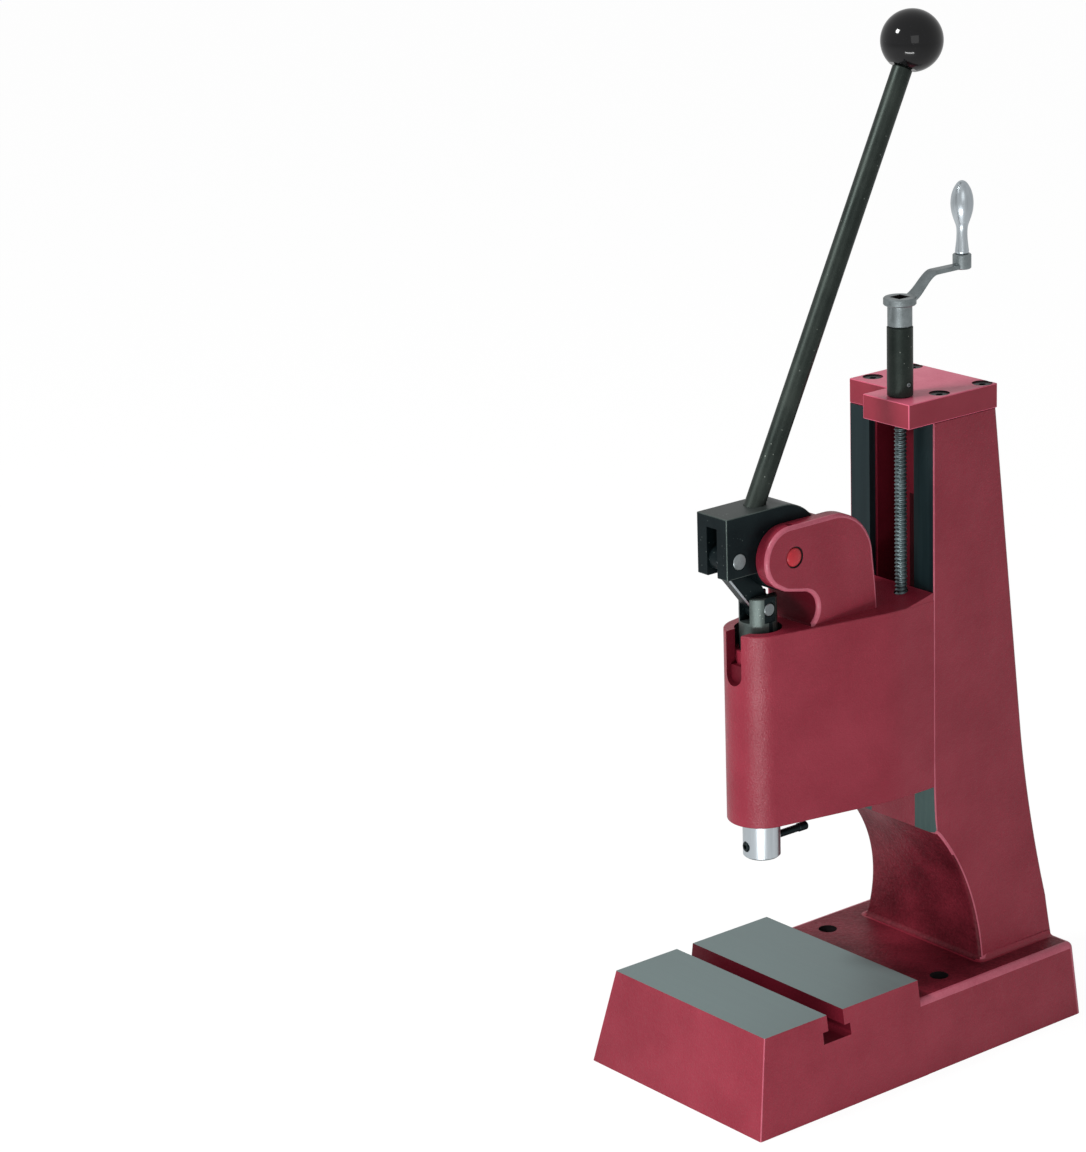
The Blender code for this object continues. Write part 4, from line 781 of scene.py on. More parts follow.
# Cover plate
def cover_plate():
    back = COLUMN_BACK + GAP
    outline = [(-COLUMN_HALF, COLUMN_FRONT), (TONGUE_LEFT, COLUMN_FRONT), (TONGUE_LEFT, TONGUE_FRONT),
        (COLUMN_HALF, TONGUE_FRONT), (COLUMN_HALF, back), (-COLUMN_HALF, back)]
    plate = slab(outline, PLATE_LOW_Z, PLATE_HIGH_Z, "plan", (PAINT_SMOOTH, PAINTED_TOP_LIGHT, PAINTED_BORE_SHADE))
    # Its rounded edges take the lighter enamel as painted light.
    round_edges(plate, 0.0007, 3, slot=1)
    cut(plate, rod((*SPINDLE, PLATE_LOW_Z - OVER), (*SPINDLE, PLATE_HIGH_Z + OVER),
            BUSH_RADIUS + GAP))
    head_radius, seat = SCREW_HEAD_RADIUS + GAP, PLATE_HIGH_Z - 0.0012
    for x, y in COVER_SCREWS:
        profile = [(SCREW_RADIUS + GAP, PLATE_LOW_Z - OVER),
            (SCREW_RADIUS + GAP, seat - head_radius + SCREW_RADIUS),
            (head_radius, seat), (head_radius, PLATE_HIGH_Z + OVER)]
        cut(plate, turned(profile, (x, y, 0), sides=SMALL_ROUND))
        # Counterbore walls: near black as painted shade.
        paint_faces(plate, 2, lambda at, out: abs(math.hypot(at.x - x, at.y - y) - head_radius) < GAP
            and abs(out.z) < 0.1)
    # Its top face takes the lighter enamel as painted light from above.
    paint_faces(plate, 1, lambda at, out: out.z > 0.99 and at.z > PLATE_HIGH_Z - GAP)
    finish(tidy(plate), "cover_plate", "frame", ["top_plate"])


def socket_cutter(place, radius, depth, axis=Z_AXIS):
    """A hexagon to sink in a screw's end, with the cone that its drill leaves."""
    profile = [(POLE, -depth - radius / 2), (radius, -depth), (radius, OVER)]
    return turned(profile, place, axis, 6)


def cover_screw(number, x, y):
    top = PLATE_HIGH_Z - 0.001
    cone = SCREW_HEAD_RADIUS - SCREW_RADIUS
    profile = [(SCREW_RADIUS - 0.0006, -SCREW_LENGTH), (SCREW_RADIUS, 0.0006 - SCREW_LENGTH),
        (SCREW_RADIUS, -cone),
        (SCREW_HEAD_RADIUS - 0.0003, -0.0003), (SCREW_HEAD_RADIUS - 0.0006, 0)]
    screw = turned(profile, (x, y, top), sides=SMALL_ROUND, materials=(OXIDE, PAINTED_BORE_SHADE))
    cut(screw, socket_cutter((x, y, top), 0.0029, 0.003))
    finish(screw, f"cover_screw_{number}", "frame", [f"plate_screw_{number}"])


# Spindle, crank and handle
def threaded_spindle():
    """Cut a right-hand thread by winding one tooth up the spindle, and set a plain shank above it."""
    bpy.ops.mesh.primitive_plane_add(size=THREAD_PITCH)
    thread = give_slots(bpy.context.object, (THREAD_STEEL,))
    edit(thread)
    bpy.ops.mesh.select_mode(type="VERT")
    select_all()
    bpy.ops.mesh.merge(type="CENTER")
    bpy.ops.transform.translate(value=(THREAD_ROOT, 0, 0))
    deep = SPINDLE_RADIUS - THREAD_ROOT
    for across, up_share in ((deep, 0.36), (0, 0.16), (-deep, 0.36), (0, 0.12)):
        bpy.ops.mesh.extrude_vertices_move(TRANSFORM_OT_translate={"value": (across, 0,
                    up_share * THREAD_PITCH)})
    leave()
    screw = thread.modifiers.new("Thread", "SCREW")
    screw.axis = "Z"
    screw.screw_offset = THREAD_PITCH
    screw.iterations = THREAD_TURNS
    screw.steps = screw.render_steps = SMALL_ROUND // 2
    bpy.ops.object.modifier_apply(modifier=screw.name)
    edit(thread)
    close_ends()
    thread.data.transform(Matrix.Translation((*SPINDLE, THREAD_LOW_Z)))
    finish(thread, "threaded_spindle", "spindle", ["height_spindle"])
    low = THREAD_LOW_Z + (THREAD_TURNS + 1) * THREAD_PITCH + GAP
    shank = chamfered(SPINDLE_RADIUS, low, SPINDLE_TOP_Z, 0.0005, (*SPINDLE, 0),
        sides=SMALL_ROUND)
    finish(shank, "spindle_shank", "spindle", ["height_spindle"])


def spindle_collar():
    bore, low = SPINDLE_RADIUS + GAP, PLATE_HIGH_Z + GAP
    profile = [(bore, low), (SLEEVE_RADIUS - 0.0006, low), (SLEEVE_RADIUS, low + 0.0006),
        (SLEEVE_RADIUS, SLEEVE_TOP_Z - 0.0006), (SLEEVE_RADIUS - 0.0006, SLEEVE_TOP_Z), (bore, SLEEVE_TOP_Z)]
    collar = turned(profile, (*SPINDLE, 0), through=True, materials=(OXIDE_BAR,))
    z = PLATE_HIGH_Z + 0.0095
    rim = SPINDLE_X + SLEEVE_RADIUS
    cut(collar, rod((SPINDLE_X + SPINDLE_RADIUS, SPINDLE_Y, z), (rim + OVER, SPINDLE_Y, z), 0.0018 + GAP))
    finish(tidy(collar), "spindle_collar", "spindle", ["spindle_sleeve"])
    screw = chamfered(0.0018, SPINDLE_RADIUS + GAP, SLEEVE_RADIUS - GAP, 0.0003, (*SPINDLE, z), X_AXIS,
        SMALL_ROUND, (SATIN_STEEL,))
    cut(screw, socket_cutter((rim - GAP, SPINDLE_Y, z), 0.0009, 0.0012, X_AXIS))
    finish(screw, "collar_screw", "spindle", ["sleeve_set_screw"])


def crank():
    """Hub with a flange, an arm that climbs in a soft S, and a boss for the handle."""
    low = SLEEVE_TOP_Z + GAP
    profile = [(HUB_RADIUS - 0.0005, low), (HUB_RADIUS, low + 0.0005), (HUB_RADIUS, FLANGE_Z - 0.0012),
        (HUB_RADIUS + 0.0004, FLANGE_Z - 0.0004), (FLANGE_RADIUS - 0.0008, FLANGE_Z),
        (FLANGE_RADIUS, FLANGE_Z + 0.0008), (FLANGE_RADIUS, HUB_TOP_Z - 0.0008),
        (FLANGE_RADIUS - 0.0008, HUB_TOP_Z)]
    hub = turned(profile, (*SPINDLE, 0), materials=(SATIN_STEEL, PAINTED_BORE_SHADE))
    start, end = SPINDLE_RADIUS + OVER, CRANK_REACH - SINK
    bottom, top = HUB_TOP_Z - ARM_THICKNESS - 0.001, BOSS_LOW_Z + GAP
    lower = []
    for step in range(ARC_STEPS + 1):
        climb = step / ARC_STEPS
        rise = climb * climb * (3 - 2 * climb)
        lower.append((start + (end - start) * climb / 2, bottom + (top - bottom) * rise))
    lower.append((end, top))
    outline = [(SPINDLE_Y + y, z) for y, z in lower + [(y, z + ARM_THICKNESS) for y, z in lower[::-1]]]
    arm = slab(outline, SPINDLE_X - ARM_HALF, SPINDLE_X + ARM_HALF, "side", (SATIN_STEEL,))
    round_edges(arm, 0.0011, 3)
    for vertex in arm.data.vertices:
        along = (vertex.co.y - SPINDLE_Y - start) / (end - start)
        vertex.co.x = SPINDLE_X + (vertex.co.x - SPINDLE_X) * (1.22 - 0.42 * min(1, 1.4 * along))
    edit(arm)
    select_all()
    bpy.ops.mesh.quads_convert_to_tris()
    leave()
    boss = chamfered(BOSS_RADIUS, BOSS_LOW_Z, BOSS_HIGH_Z, 0.0007, (SPINDLE_X, SPINDLE_Y + CRANK_REACH, 0),
        materials=(SATIN_STEEL,))
    square = 0.0055
    cut(hub, rod((*SPINDLE, SLEEVE_TOP_Z - OVER), (*SPINDLE, SPINDLE_TOP_Z + GAP),
            SPINDLE_RADIUS + GAP),
        block((SPINDLE_X - square, SPINDLE_Y - square, HUB_TOP_Z - square),
            (SPINDLE_X + square, SPINDLE_Y + square, HUB_TOP_Z + OVER)))
    cut(boss, rod((SPINDLE_X, SPINDLE_Y + CRANK_REACH, BOSS_LOW_Z + SINK - GAP),
            (SPINDLE_X, SPINDLE_Y + CRANK_REACH, BOSS_HIGH_Z + OVER), HANDLE_PIN_RADIUS + GAP))
    fuse(boss, arm)
    fuse(hub, boss)
    # The square socket's walls: near black as painted shade.
    paint_faces(hub, 1, lambda at, out: at.z < HUB_TOP_Z - GAP and at.z > HUB_TOP_Z - square - GAP
        and max(abs(at.x - SPINDLE_X), abs(at.y - SPINDLE_Y)) < square + GAP)
    finish(hub, "cast_crank", "crank", ["crank_arm"])
    pin = chamfered(HANDLE_PIN_RADIUS, BOSS_LOW_Z + SINK, BOSS_HIGH_Z + 0.037, 0.0004,
        (SPINDLE_X, SPINDLE_Y + CRANK_REACH, 0), sides=SMALL_ROUND)
    finish(pin, "handle_spigot", "crank", ["handle_pin"])


def smooth_line(points, steps):
    """Points on a soft curve through the given ones."""
    line = []
    last = len(points) - 1
    for index in range(last):
        before, start = points[max(index - 1, 0)], points[index]
        end, after = points[index + 1], points[min(index + 2, last)]
        for step in range(steps):
            t = step / steps
            line.append(tuple(
                    0.5 * (2 * b + (c - a) * t + (2 * a - 5 * b + 4 * c - d) * t ** 2
                        + (3 * b - a - 3 * c + d) * t ** 3)
                    for a, b, c, d in zip(before, start, end, after)))
    return line + [points[last]]


def machine_handle():
    """Handle with a slim neck and an egg-shaped grip, turned from the foot up."""
    foot_shares = [(0, 1.2), (0.03, 1.28), (0.06, 1.24), (0.11, 1.16), (0.2, 1.03), (0.31, 1)]
    grip_shares = [(0.386, 0.54), (0.444, 0.67), (0.518, 0.83), (0.59, 0.945), (0.678, 1), (0.766, 0.965),
        (0.839, 0.86), (0.898, 0.71), (0.956, 0.48), (0.985, 0.28), (0.999, 0.05)]
    points = [(HANDLE_NECK * share, HANDLE_HEIGHT * up) for up, share in foot_shares]
    points += [(HANDLE_BULB * share, HANDLE_HEIGHT * up) for up, share in grip_shares]
    place = (SPINDLE_X, SPINDLE_Y + CRANK_REACH, BOSS_HIGH_Z + GAP)
    handle = turned(smooth_line(points, 4), place)
    cut(handle, rod((*place[:2], BOSS_HIGH_Z - OVER), (*place[:2], BOSS_HIGH_Z + 0.04),
            HANDLE_PIN_RADIUS + GAP))
    finish(handle, "machine_handle", "handle", ["crank_handle"])


# Head
def head_casting():
    materials = (PAINT, PAINTED_EDGE_HIGHLIGHT, PAINTED_BORE_SHADE, GUIDE_IN_PAINTED_SHADE, PAINTED_RECESS_SHADE)
    spread = math.hypot(COLUMN_HALF, BEND_Y - RAM_Y)
    lean = math.degrees(math.atan2(COLUMN_HALF, BEND_Y - RAM_Y) - math.asin(NOSE_RADIUS / spread))
    plan = arc((0, RAM_Y), NOSE_RADIUS, 180 + lean, 360 - lean, 3 * ARC_STEPS)
    plan += [(COLUMN_HALF, BEND_Y), (COLUMN_HALF, HEAD_BACK), (-COLUMN_HALF, HEAD_BACK),
        (-COLUMN_HALF, BEND_Y)]
    body = slab(plan, HEAD_LOW_Z, HEAD_HIGH_Z, "plan", materials)
    edit(body)
    if choose("EDGE", lambda edge: all(abs(v.co.y - BEND_Y) < GAP for v in edge.verts)
            and abs(edge.verts[0].co.x - edge.verts[1].co.x) < GAP):
        bpy.ops.mesh.bevel(offset=0.009, segments=6, affect="EDGES")
    leave()
    round_edges(body, 0.0011, 3, lambda place: place.y < HEAD_BACK - GAP)
    shoulder = slab([(BEND_Y, HEAD_HIGH_Z - SINK), (HEAD_BACK - GAP, HEAD_HIGH_Z - SINK),
            (HEAD_BACK - GAP, HEAD_HIGH_Z + SHOULDER_RISE)],
        GAP - COLUMN_HALF, COLUMN_HALF - GAP, "side", materials)
    fuse(body, shoulder, ears(materials),
        block((GAP - GUIDE_HALF, HEAD_BACK - SINK, KEY_LOW_Z),
            (GUIDE_HALF - GAP, GUIDE_BACK - GAP, HEAD_HIGH_Z - SINK), materials))
    cut(body, *head_bores())
    tidy(body)
    # The room between the ears, the notch walls and the nose slot: darker enamel as painted shade.
    paint_faces(body, 4, lambda at, out: abs(at.x) < EAR_INNER + GAP and at.z > HEAD_HIGH_Z + GAP
        and at.y < BEND_Y and (abs(out.x) > 0.9 or at.y > PIVOT[0]) and out.z < 0.9
        and math.hypot(at.y - PIVOT[0], at.z - PIVOT[1]) < BLOCK_RADIUS + SINK)
    paint_faces(body, 4, lambda at, out: abs(out.x) < 0.1 and abs(at.x) < EAR_OUTER - SINK and abs(
            math.hypot(at.y - NOTCH_MIDDLE[0], at.z - NOTCH_MIDDLE[1]) - NOTCH_RADIUS) < 0.001)
    paint_faces(body, 4, lambda at, out: abs(at.x) < NOSE_SLOT_HALF + GAP and at.y < RAM_Y
        and at.z < HEAD_HIGH_Z - GAP and at.z > NOSE_SLOT_Z - GAP and math.hypot(
            at.x, at.y - RAM_Y) < NOSE_RADIUS - 0.001)
    # Walls of the ram bore, pin rings and spindle way: near black as painted shade.
    paint_faces(body, 2, head_bore_face)
    finish(body, "head_block", "head", ["head_casting"])


def ears(materials):
    """Both ears and the web behind them, with room for the lever's block to swing."""
    sink = HEAD_HIGH_Z - 2 * SINK
    notch = arc(NOTCH_MIDDLE, NOTCH_RADIUS, -60, 85)
    top_z = PIVOT[1] + EAR_RADIUS
    outline = [(notch[0][0], sink)] + notch + [NOTCH_LIP]
    outline += arc((EAR_FRONT_Y, PIVOT[1]), EAR_RADIUS, 242, 90, 2 * ARC_STEPS)
    outline += arc((EAR_BACK_Y, top_z - EAR_BACK_RADIUS), EAR_BACK_RADIUS, 90, 4, 2 * ARC_STEPS)
    outline += [(EAR_HEEL_Y, HEAD_HIGH_Z + NOTCH_RADIUS), (EAR_FOOT_Y, sink)]
    both = slab(outline, -EAR_OUTER, EAR_OUTER, "side", materials)
    # The ears' rounded top edges get the lighter enamel as a painted highlight.
    round_edges(both, 0.0028, 5, lambda place: place.z > HEAD_HIGH_Z, 1)
    room_top = BLOCK_HIGH_Z + OVER
    slope = [(0.108, room_top), (0.165, 0.404), (BEND_Y, 0.404), (BEND_Y, room_top)]
    cut(both, block((-EAR_INNER, 0, HEAD_HIGH_Z - 3 * SINK), (EAR_INNER, PIVOT[0] + 0.0093, room_top)),
        rod((-EAR_INNER, *PIVOT), (EAR_INNER, *PIVOT), BLOCK_RADIUS + GAP, ROUND),
        slab(slope, -EAR_OUTER - OVER, EAR_INNER, "side"))
    return tidy(both)


def head_bores():
    """Everything that is bored, slotted or tapped in the head."""
    ram_place = (0, RAM_Y)
    front = RAM_Y - NOSE_RADIUS - OVER
    slot_middle = (0, NOSE_SLOT_Z + NOSE_SLOT_HALF)
    outline = arc(slot_middle, NOSE_SLOT_HALF, 180, 360)
    outline += [(NOSE_SLOT_HALF, HEAD_HIGH_Z + OVER), (-NOSE_SLOT_HALF, HEAD_HIGH_Z + OVER)]
    bores = [
        rod((*ram_place, HEAD_LOW_Z - OVER), (*ram_place, 0.3217), 0.0188, ROUND),
        rod((*ram_place, 0.319), (*ram_place, HEAD_HIGH_Z + OVER), 0.0173, ROUND),
        rod((*ram_place, UPPER_BUSH_TOP_Z), (*ram_place, HEAD_HIGH_Z + OVER), 0.0175, ROUND),
        slab(outline, front, RAM_Y - NOSE_SLOT_DEEP, "front"),
        block((-NOSE_SLOT_HALF, front, BUSH_LOW_Z), (NOSE_SLOT_HALF, RAM_Y, HEAD_HIGH_Z + OVER)),
        rod((*SPINDLE, HEAD_LOW_Z - OVER), (*SPINDLE, HEAD_HIGH_Z + 3 * OVER),
            SPINDLE_RADIUS + 2 * GAP),
        block(NUT_ROOM_LOW, NUT_ROOM_HIGH),
        rod((-EAR_OUTER - OVER, *PIVOT), (EAR_OUTER + OVER, *PIVOT), PIVOT_PIN_RADIUS + GAP),
        rod((EAR_SCREW_X, *PIVOT), (EAR_SCREW_X, PIVOT[0], BLOCK_HIGH_Z), EAR_SCREW_RADIUS + GAP)]
    for side in (-1, 1):
        bores.append(rod((side * (EAR_OUTER - PIN_RING), *PIVOT), (side * (EAR_OUTER + OVER), *PIVOT),
                PIVOT_PIN_RADIUS + PIN_RING, ROUND))
    for z in STUD_Z.values():
        bores.append(rod((0, HEAD_BACK - 0.0253, z), (0, GUIDE_BACK + OVER, z), STUD_RADIUS + GAP))
    return bores


def head_bore_face(middle, normal):
    """True for the walls of the bores and slots, which are bare; they are coloured near black as painted
    shade.
    """
    from_ram = math.hypot(middle.x, middle.y - RAM_Y)
    in_pin_ring = (abs(middle.x) > EAR_OUTER - 2 * PIN_RING
        and math.hypot(middle.y - PIVOT[0], middle.z - PIVOT[1]) < PIVOT_PIN_RADIUS + PIN_RING + GAP)
    in_spindle_way = (math.hypot(middle.x - SPINDLE_X, middle.y - SPINDLE_Y) < SPINDLE_RADIUS + 3 * GAP
        and abs(normal.z) < 0.5)
    return (from_ram < 0.0189 and abs(normal.z) < 0.2 and middle.z < 0.341) or in_pin_ring or in_spindle_way


def ram_sleeves():
    bore, low, wide, top = RAM_RADIUS + GAP, HEAD_LOW_Z + 0.0002, LOWER_BUSH_RADIUS, LOWER_BUSH_TOP_Z
    lower = [(bore, low), (wide - GAP, low), (wide, low + 0.0004), (wide, top), (bore, top)]
    wide, top = UPPER_BUSH_RADIUS, UPPER_BUSH_TOP_Z
    upper = [(bore, BUSH_LOW_Z), (wide, BUSH_LOW_Z), (wide, top - GAP), (wide - 0.0004, top), (bore, top)]
    place = (0, RAM_Y, 0)
    finish(turned(lower, place, through=True, materials=(BRONZE,)), "lower_sleeve", "head",
        ["lower_ram_bush"])
    finish(turned(upper, place, through=True, materials=(PAINT_SMOOTH,)), "upper_sleeve", "head",
        ["upper_ram_bush"])


def coil_spring():
    """Round wire wound round the ram, drawn at rest; on the press the ram presses it flat as it goes down."""
    bpy.ops.mesh.primitive_circle_add(vertices=12, radius=SPRING_WIRE / 2, fill_type="NOTHING",
        location=(SPRING_RADIUS, 0, 0), rotation=(math.pi / 2, 0, 0))
    coil = give_slots(bpy.context.object, (SPRING_STEEL,))
    bpy.ops.object.transform_apply(location=True, rotation=True, scale=True)
    screw = coil.modifiers.new("Coil", "SCREW")
    screw.axis = "Z"
    screw.screw_offset = (SPRING_HIGH_Z - SPRING_LOW_Z) / SPRING_TURNS
    screw.iterations = SPRING_TURNS
    screw.steps = screw.render_steps = 40
    bpy.ops.object.modifier_apply(modifier=screw.name)
    edit(coil)
    close_ends()
    coil.data.transform(Matrix.Translation((0, RAM_Y, SPRING_LOW_Z)))
    finish(coil, "coil_spring", "head", ["return_spring"])
    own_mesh(coil)


def ear_pin():
    """Domed pin through both ears and the small screw that holds it."""
    edge, tip = EAR_OUTER - PIN_RING, EAR_OUTER + 0.0012
    half = [(PIVOT_PIN_RADIUS * math.cos(math.radians(angle)),
            edge + (tip - edge) * math.sin(math.radians(angle))) for angle in range(0, 89, 8)]
    profile = [(radius, -height) for radius, height in half[::-1]] + half
    finish(turned(profile, (0, *PIVOT), X_AXIS, materials=(PIN_RED,)), "ear_pin", "head",
        ["pivot_pin"])
    top = PIVOT[1] + EAR_RADIUS - 0.001
    screw = chamfered(EAR_SCREW_RADIUS, PIVOT[1] + 0.012, top, 0.0004, (EAR_SCREW_X, PIVOT[0], 0),
        sides=SMALL_ROUND, materials=(OXIDE,))
    cut(screw, socket_cutter((EAR_SCREW_X, PIVOT[0], top), 0.0013, 0.002))
    finish(screw, "ear_screw", "head", ["pivot_pin_screw"])


def head_clamp():
    """Keeper plate behind the column's web, with a stud, washer and nut at each end."""
    front, back = WEB_BACK + GAP, WEB_BACK + GAP + KEEPER_THICKNESS
    keeper = block((-KEEPER_HALF, front, KEEPER_LOW_Z), (KEEPER_HALF, back, KEEPER_HIGH_Z),
        (OXIDE, OXIDE_WEAR_AND_SHADE))
    round_edges(keeper, 0.0012, 3, slot=1)
    nut_front = back + GAP + WASHER_THICKNESS + GAP
    for name, z in STUD_Z.items():
        cut(keeper, rod((0, front - OVER, z), (0, back + OVER, z), STUD_RADIUS + GAP))
        tip = nut_front + 0.0115
        stud = chamfered(STUD_RADIUS, HEAD_BACK - 0.025, tip, 0.0008, (0, 0, z), Y_AXIS, SMALL_ROUND)
        finish(stud, f"{name}_stud", "head", [f"{name}_clamp_stud"])
        bore, rim = STUD_RADIUS + GAP, WASHER_RADIUS
        low, high = back + GAP, back + GAP + WASHER_THICKNESS
        profile = [(bore, low), (rim - 0.0004, low), (rim, low + 0.0004), (rim, high - 0.0004),
            (rim - 0.0004, high),
            (bore, high)]
        washer = turned(profile, (0, 0, z), Y_AXIS, SMALL_ROUND, True, (SATIN_STEEL,))
        finish(washer, f"{name}_washer", "head", [f"{name}_clamp_washer"])
        profile = [(bore, nut_front), (HEX_RADIUS, nut_front), (HEX_RADIUS, nut_front + NUT_HEIGHT),
            (bore, nut_front + NUT_HEIGHT)]
        nut = turned(profile, (0, 0, z), Y_AXIS, 6, materials=(OXIDE,))
        dome = turned([(0.0086, nut_front - GAP), (0.0101, nut_front + 0.0012), (0.0101, nut_front + 0.0068),
                (0.0086, nut_front + NUT_HEIGHT + GAP)], (0, 0, z), Y_AXIS, SMALL_ROUND, materials=(OXIDE,))
        combine(nut, [dome], "INTERSECT")
        cut(nut, rod((0, nut_front - OVER, z), (0, nut_front + 0.012, z), bore))
        finish(tidy(nut), f"{name}_nut", "head", [f"{name}_clamp_nut"])
    finish(tidy(keeper), "clamp_bar", "head", ["keeper_plate"])


# Lever
def toggle_block():
    low_angle = -math.degrees(math.asin((PIVOT[1] - BLOCK_LOW_Z) / BLOCK_RADIUS))
    outline = [(BLOCK_FRONT, BLOCK_LOW_Z)] + arc(PIVOT, BLOCK_RADIUS, low_angle, 90, 2 * ARC_STEPS)
    outline.append((BLOCK_FRONT, BLOCK_HIGH_Z))
    body = slab(outline, -BLOCK_HALF, BLOCK_HALF, "side", (OXIDE, OXIDE_WEAR_AND_SHADE, OXIDE_PAINTED_TOP_LIGHT))
    round_edges(body, 0.0007, 3, slot=1)
    eye_half = BLOCK_HALF - 0.0002
    eye = chamfered(EYE_RADIUS, -eye_half, eye_half, 0.0005, (0, *PIVOT), X_AXIS, materials=(OXIDE,))
    fuse(body, eye)
    low, wide = BLOCK_LOW_Z - OVER, BLOCK_HALF + OVER
    cut(body,
        block((-SLOT_HALF, BLOCK_FRONT, PIVOT[1] - EYE_RADIUS - OVER),
            (SLOT_HALF, EYE_SLOT_BACK_Y, BLOCK_LOW_Z)),
        block((-SLOT_HALF, BLOCK_FRONT - OVER, low), (SLOT_HALF, BLOCK_MOUTH_Y, BLOCK_MOUTH_Z)),
        block((-SLOT_HALF, BLOCK_FRONT, low), (SLOT_HALF, BLOCK_SLOT_Y, BLOCK_SLOT_Z)),
        rod((-wide, *PIVOT), (wide, *PIVOT), PIVOT_PIN_RADIUS + GAP),
        rod((-wide, *TOGGLE), (wide, *TOGGLE), TOGGLE_PIN_RADIUS + GAP),
        rod(lever_point(-0.0123), lever_point(0.0115), LEVER_RADIUS + GAP))
    tidy(body)
    # Top face: lighter oxide as painted light from above.
    paint_faces(body, 2, lambda at, out: out.z > 0.99 and at.z > BLOCK_HIGH_Z - GAP)
    finish(body, "toggle_block", "lever", ["lever_block"])


def lever_point(distance):
    """A point on the lever's axis, measured from the block's top."""
    return Vector(LEVER_ENTRY) + distance * LEVER_AXIS


def lever_bar_and_ball():
    neck = LEVER_LENGTH - math.sqrt(KNOB_RADIUS ** 2 - KNOB_FACE_RADIUS ** 2)
    profile = [(LEVER_RADIUS - 0.001, -0.012), (LEVER_RADIUS, -0.011), (LEVER_RADIUS, neck - 0.0013),
        (LEVER_RADIUS - 0.001, neck - GAP), (0.006, neck - GAP), (0.006, neck + 0.0215),
        (0.0055, neck + 0.022)]
    bar = turned(profile, lever_point(0), LEVER_AXIS, materials=(OXIDE_BAR,))
    finish(bar, "lever_bar", "lever", ["lever_rod"])
    face_angle = -90 + math.degrees(math.asin(KNOB_FACE_RADIUS / KNOB_RADIUS))
    outline = arc((0, LEVER_LENGTH), KNOB_RADIUS, face_angle, 89, 2 * ARC_STEPS)
    ball = turned([(KNOB_FACE_RADIUS - 0.0006, neck)] + outline, lever_point(0), LEVER_AXIS,
        materials=(BALL_BLACK,))
    cut(ball, rod(lever_point(neck - OVER), lever_point(neck + 0.0223), 0.0063))
    finish(ball, "ball_knob", "lever", ["lever_knob"])


def cheek_pin():
    wide, thin, end = TOGGLE_PIN_RADIUS, TOGGLE_WAIST, BLOCK_HALF + 0.0001
    half = [(thin, SLOT_HALF), (wide, SLOT_HALF), (wide, end - 0.0005), (wide - 0.0005, end)]
    profile = [(radius, -height) for radius, height in half[::-1]] + half
    finish(turned(profile, (0, *TOGGLE), X_AXIS, materials=(SATIN_STEEL,)), "cheek_pin", "lever",
        ["toggle_pin"])


# Link
def toggle_point(swing):
    angle = swing - TOGGLE_ANGLE
    return PIVOT[0] - TOGGLE_ARM * math.cos(angle), PIVOT[1] - TOGGLE_ARM * math.sin(angle)


def pin_path():
    """Path of the toggle pin seen from the link."""
    path = []
    for step in range(17):
        share = step / 16
        y, z = toggle_point(LEVER_SWING * share)
        y, z = y - FOOT[0], z + RAM_STROKE * share - FOOT[1]
        angle = LINK_SWING * share
        path.append((FOOT[0] + y * math.cos(angle) - z * math.sin(angle),
                FOOT[1] + y * math.sin(angle) + z * math.cos(angle)))
    return path


def toggle_link():
    """Tapered bar round both pins; its upper eye is opened along the toggle pin's path."""
    length = math.hypot(TOGGLE[0] - FOOT[0], TOGGLE[1] - FOOT[1])
    slope = math.degrees(math.atan2(TOGGLE[1] - FOOT[1], TOGGLE[0] - FOOT[0]))
    taper = math.degrees(math.asin((LINK_TOP_RADIUS - LINK_FOOT_RADIUS) / length))
    outline = arc(TOGGLE, LINK_TOP_RADIUS, slope - 90 - taper, slope + 90 + taper, 2 * ARC_STEPS)
    outline += arc(FOOT, LINK_FOOT_RADIUS, 180, slope + 270 - taper)
    link = slab(outline, -LINK_HALF, LINK_HALF, "side", (OXIDE, TURNED_STEEL))
    # Bright steel along the lower edges: partly a ground chamfer, partly a painted edge highlight.
    round_edges(link, 0.0011, 1, lambda place: place.z < TOGGLE[1], 1)
    points = [point for centre in pin_path() for point in arc(centre, TOGGLE_WAIST + 0.0005, 0, 345, 23)]
    reach = LINK_HALF + OVER
    cut(link, slab(hull(points), -reach, reach, "side"),
        rod((-reach, *FOOT), (reach, *FOOT), FOOT_PIN_RADIUS + GAP))
    finish(tidy(link), "link_bar", "link", ["toggle_link"])


def hull(points):
    """The outline round a set of points."""
    def side(points_in_order):
        line = []
        for point in points_in_order:
            while len(line) > 1 and ((line[-1][0] - line[-2][0]) * (point[1] - line[-2][1])
                    - (line[-1][1] - line[-2][1]) * (point[0] - line[-2][0])) <= 0:
                line.pop()
            line.append(point)
        return line[:-1]

    points = sorted(points)
    return side(points) + side(points[::-1])


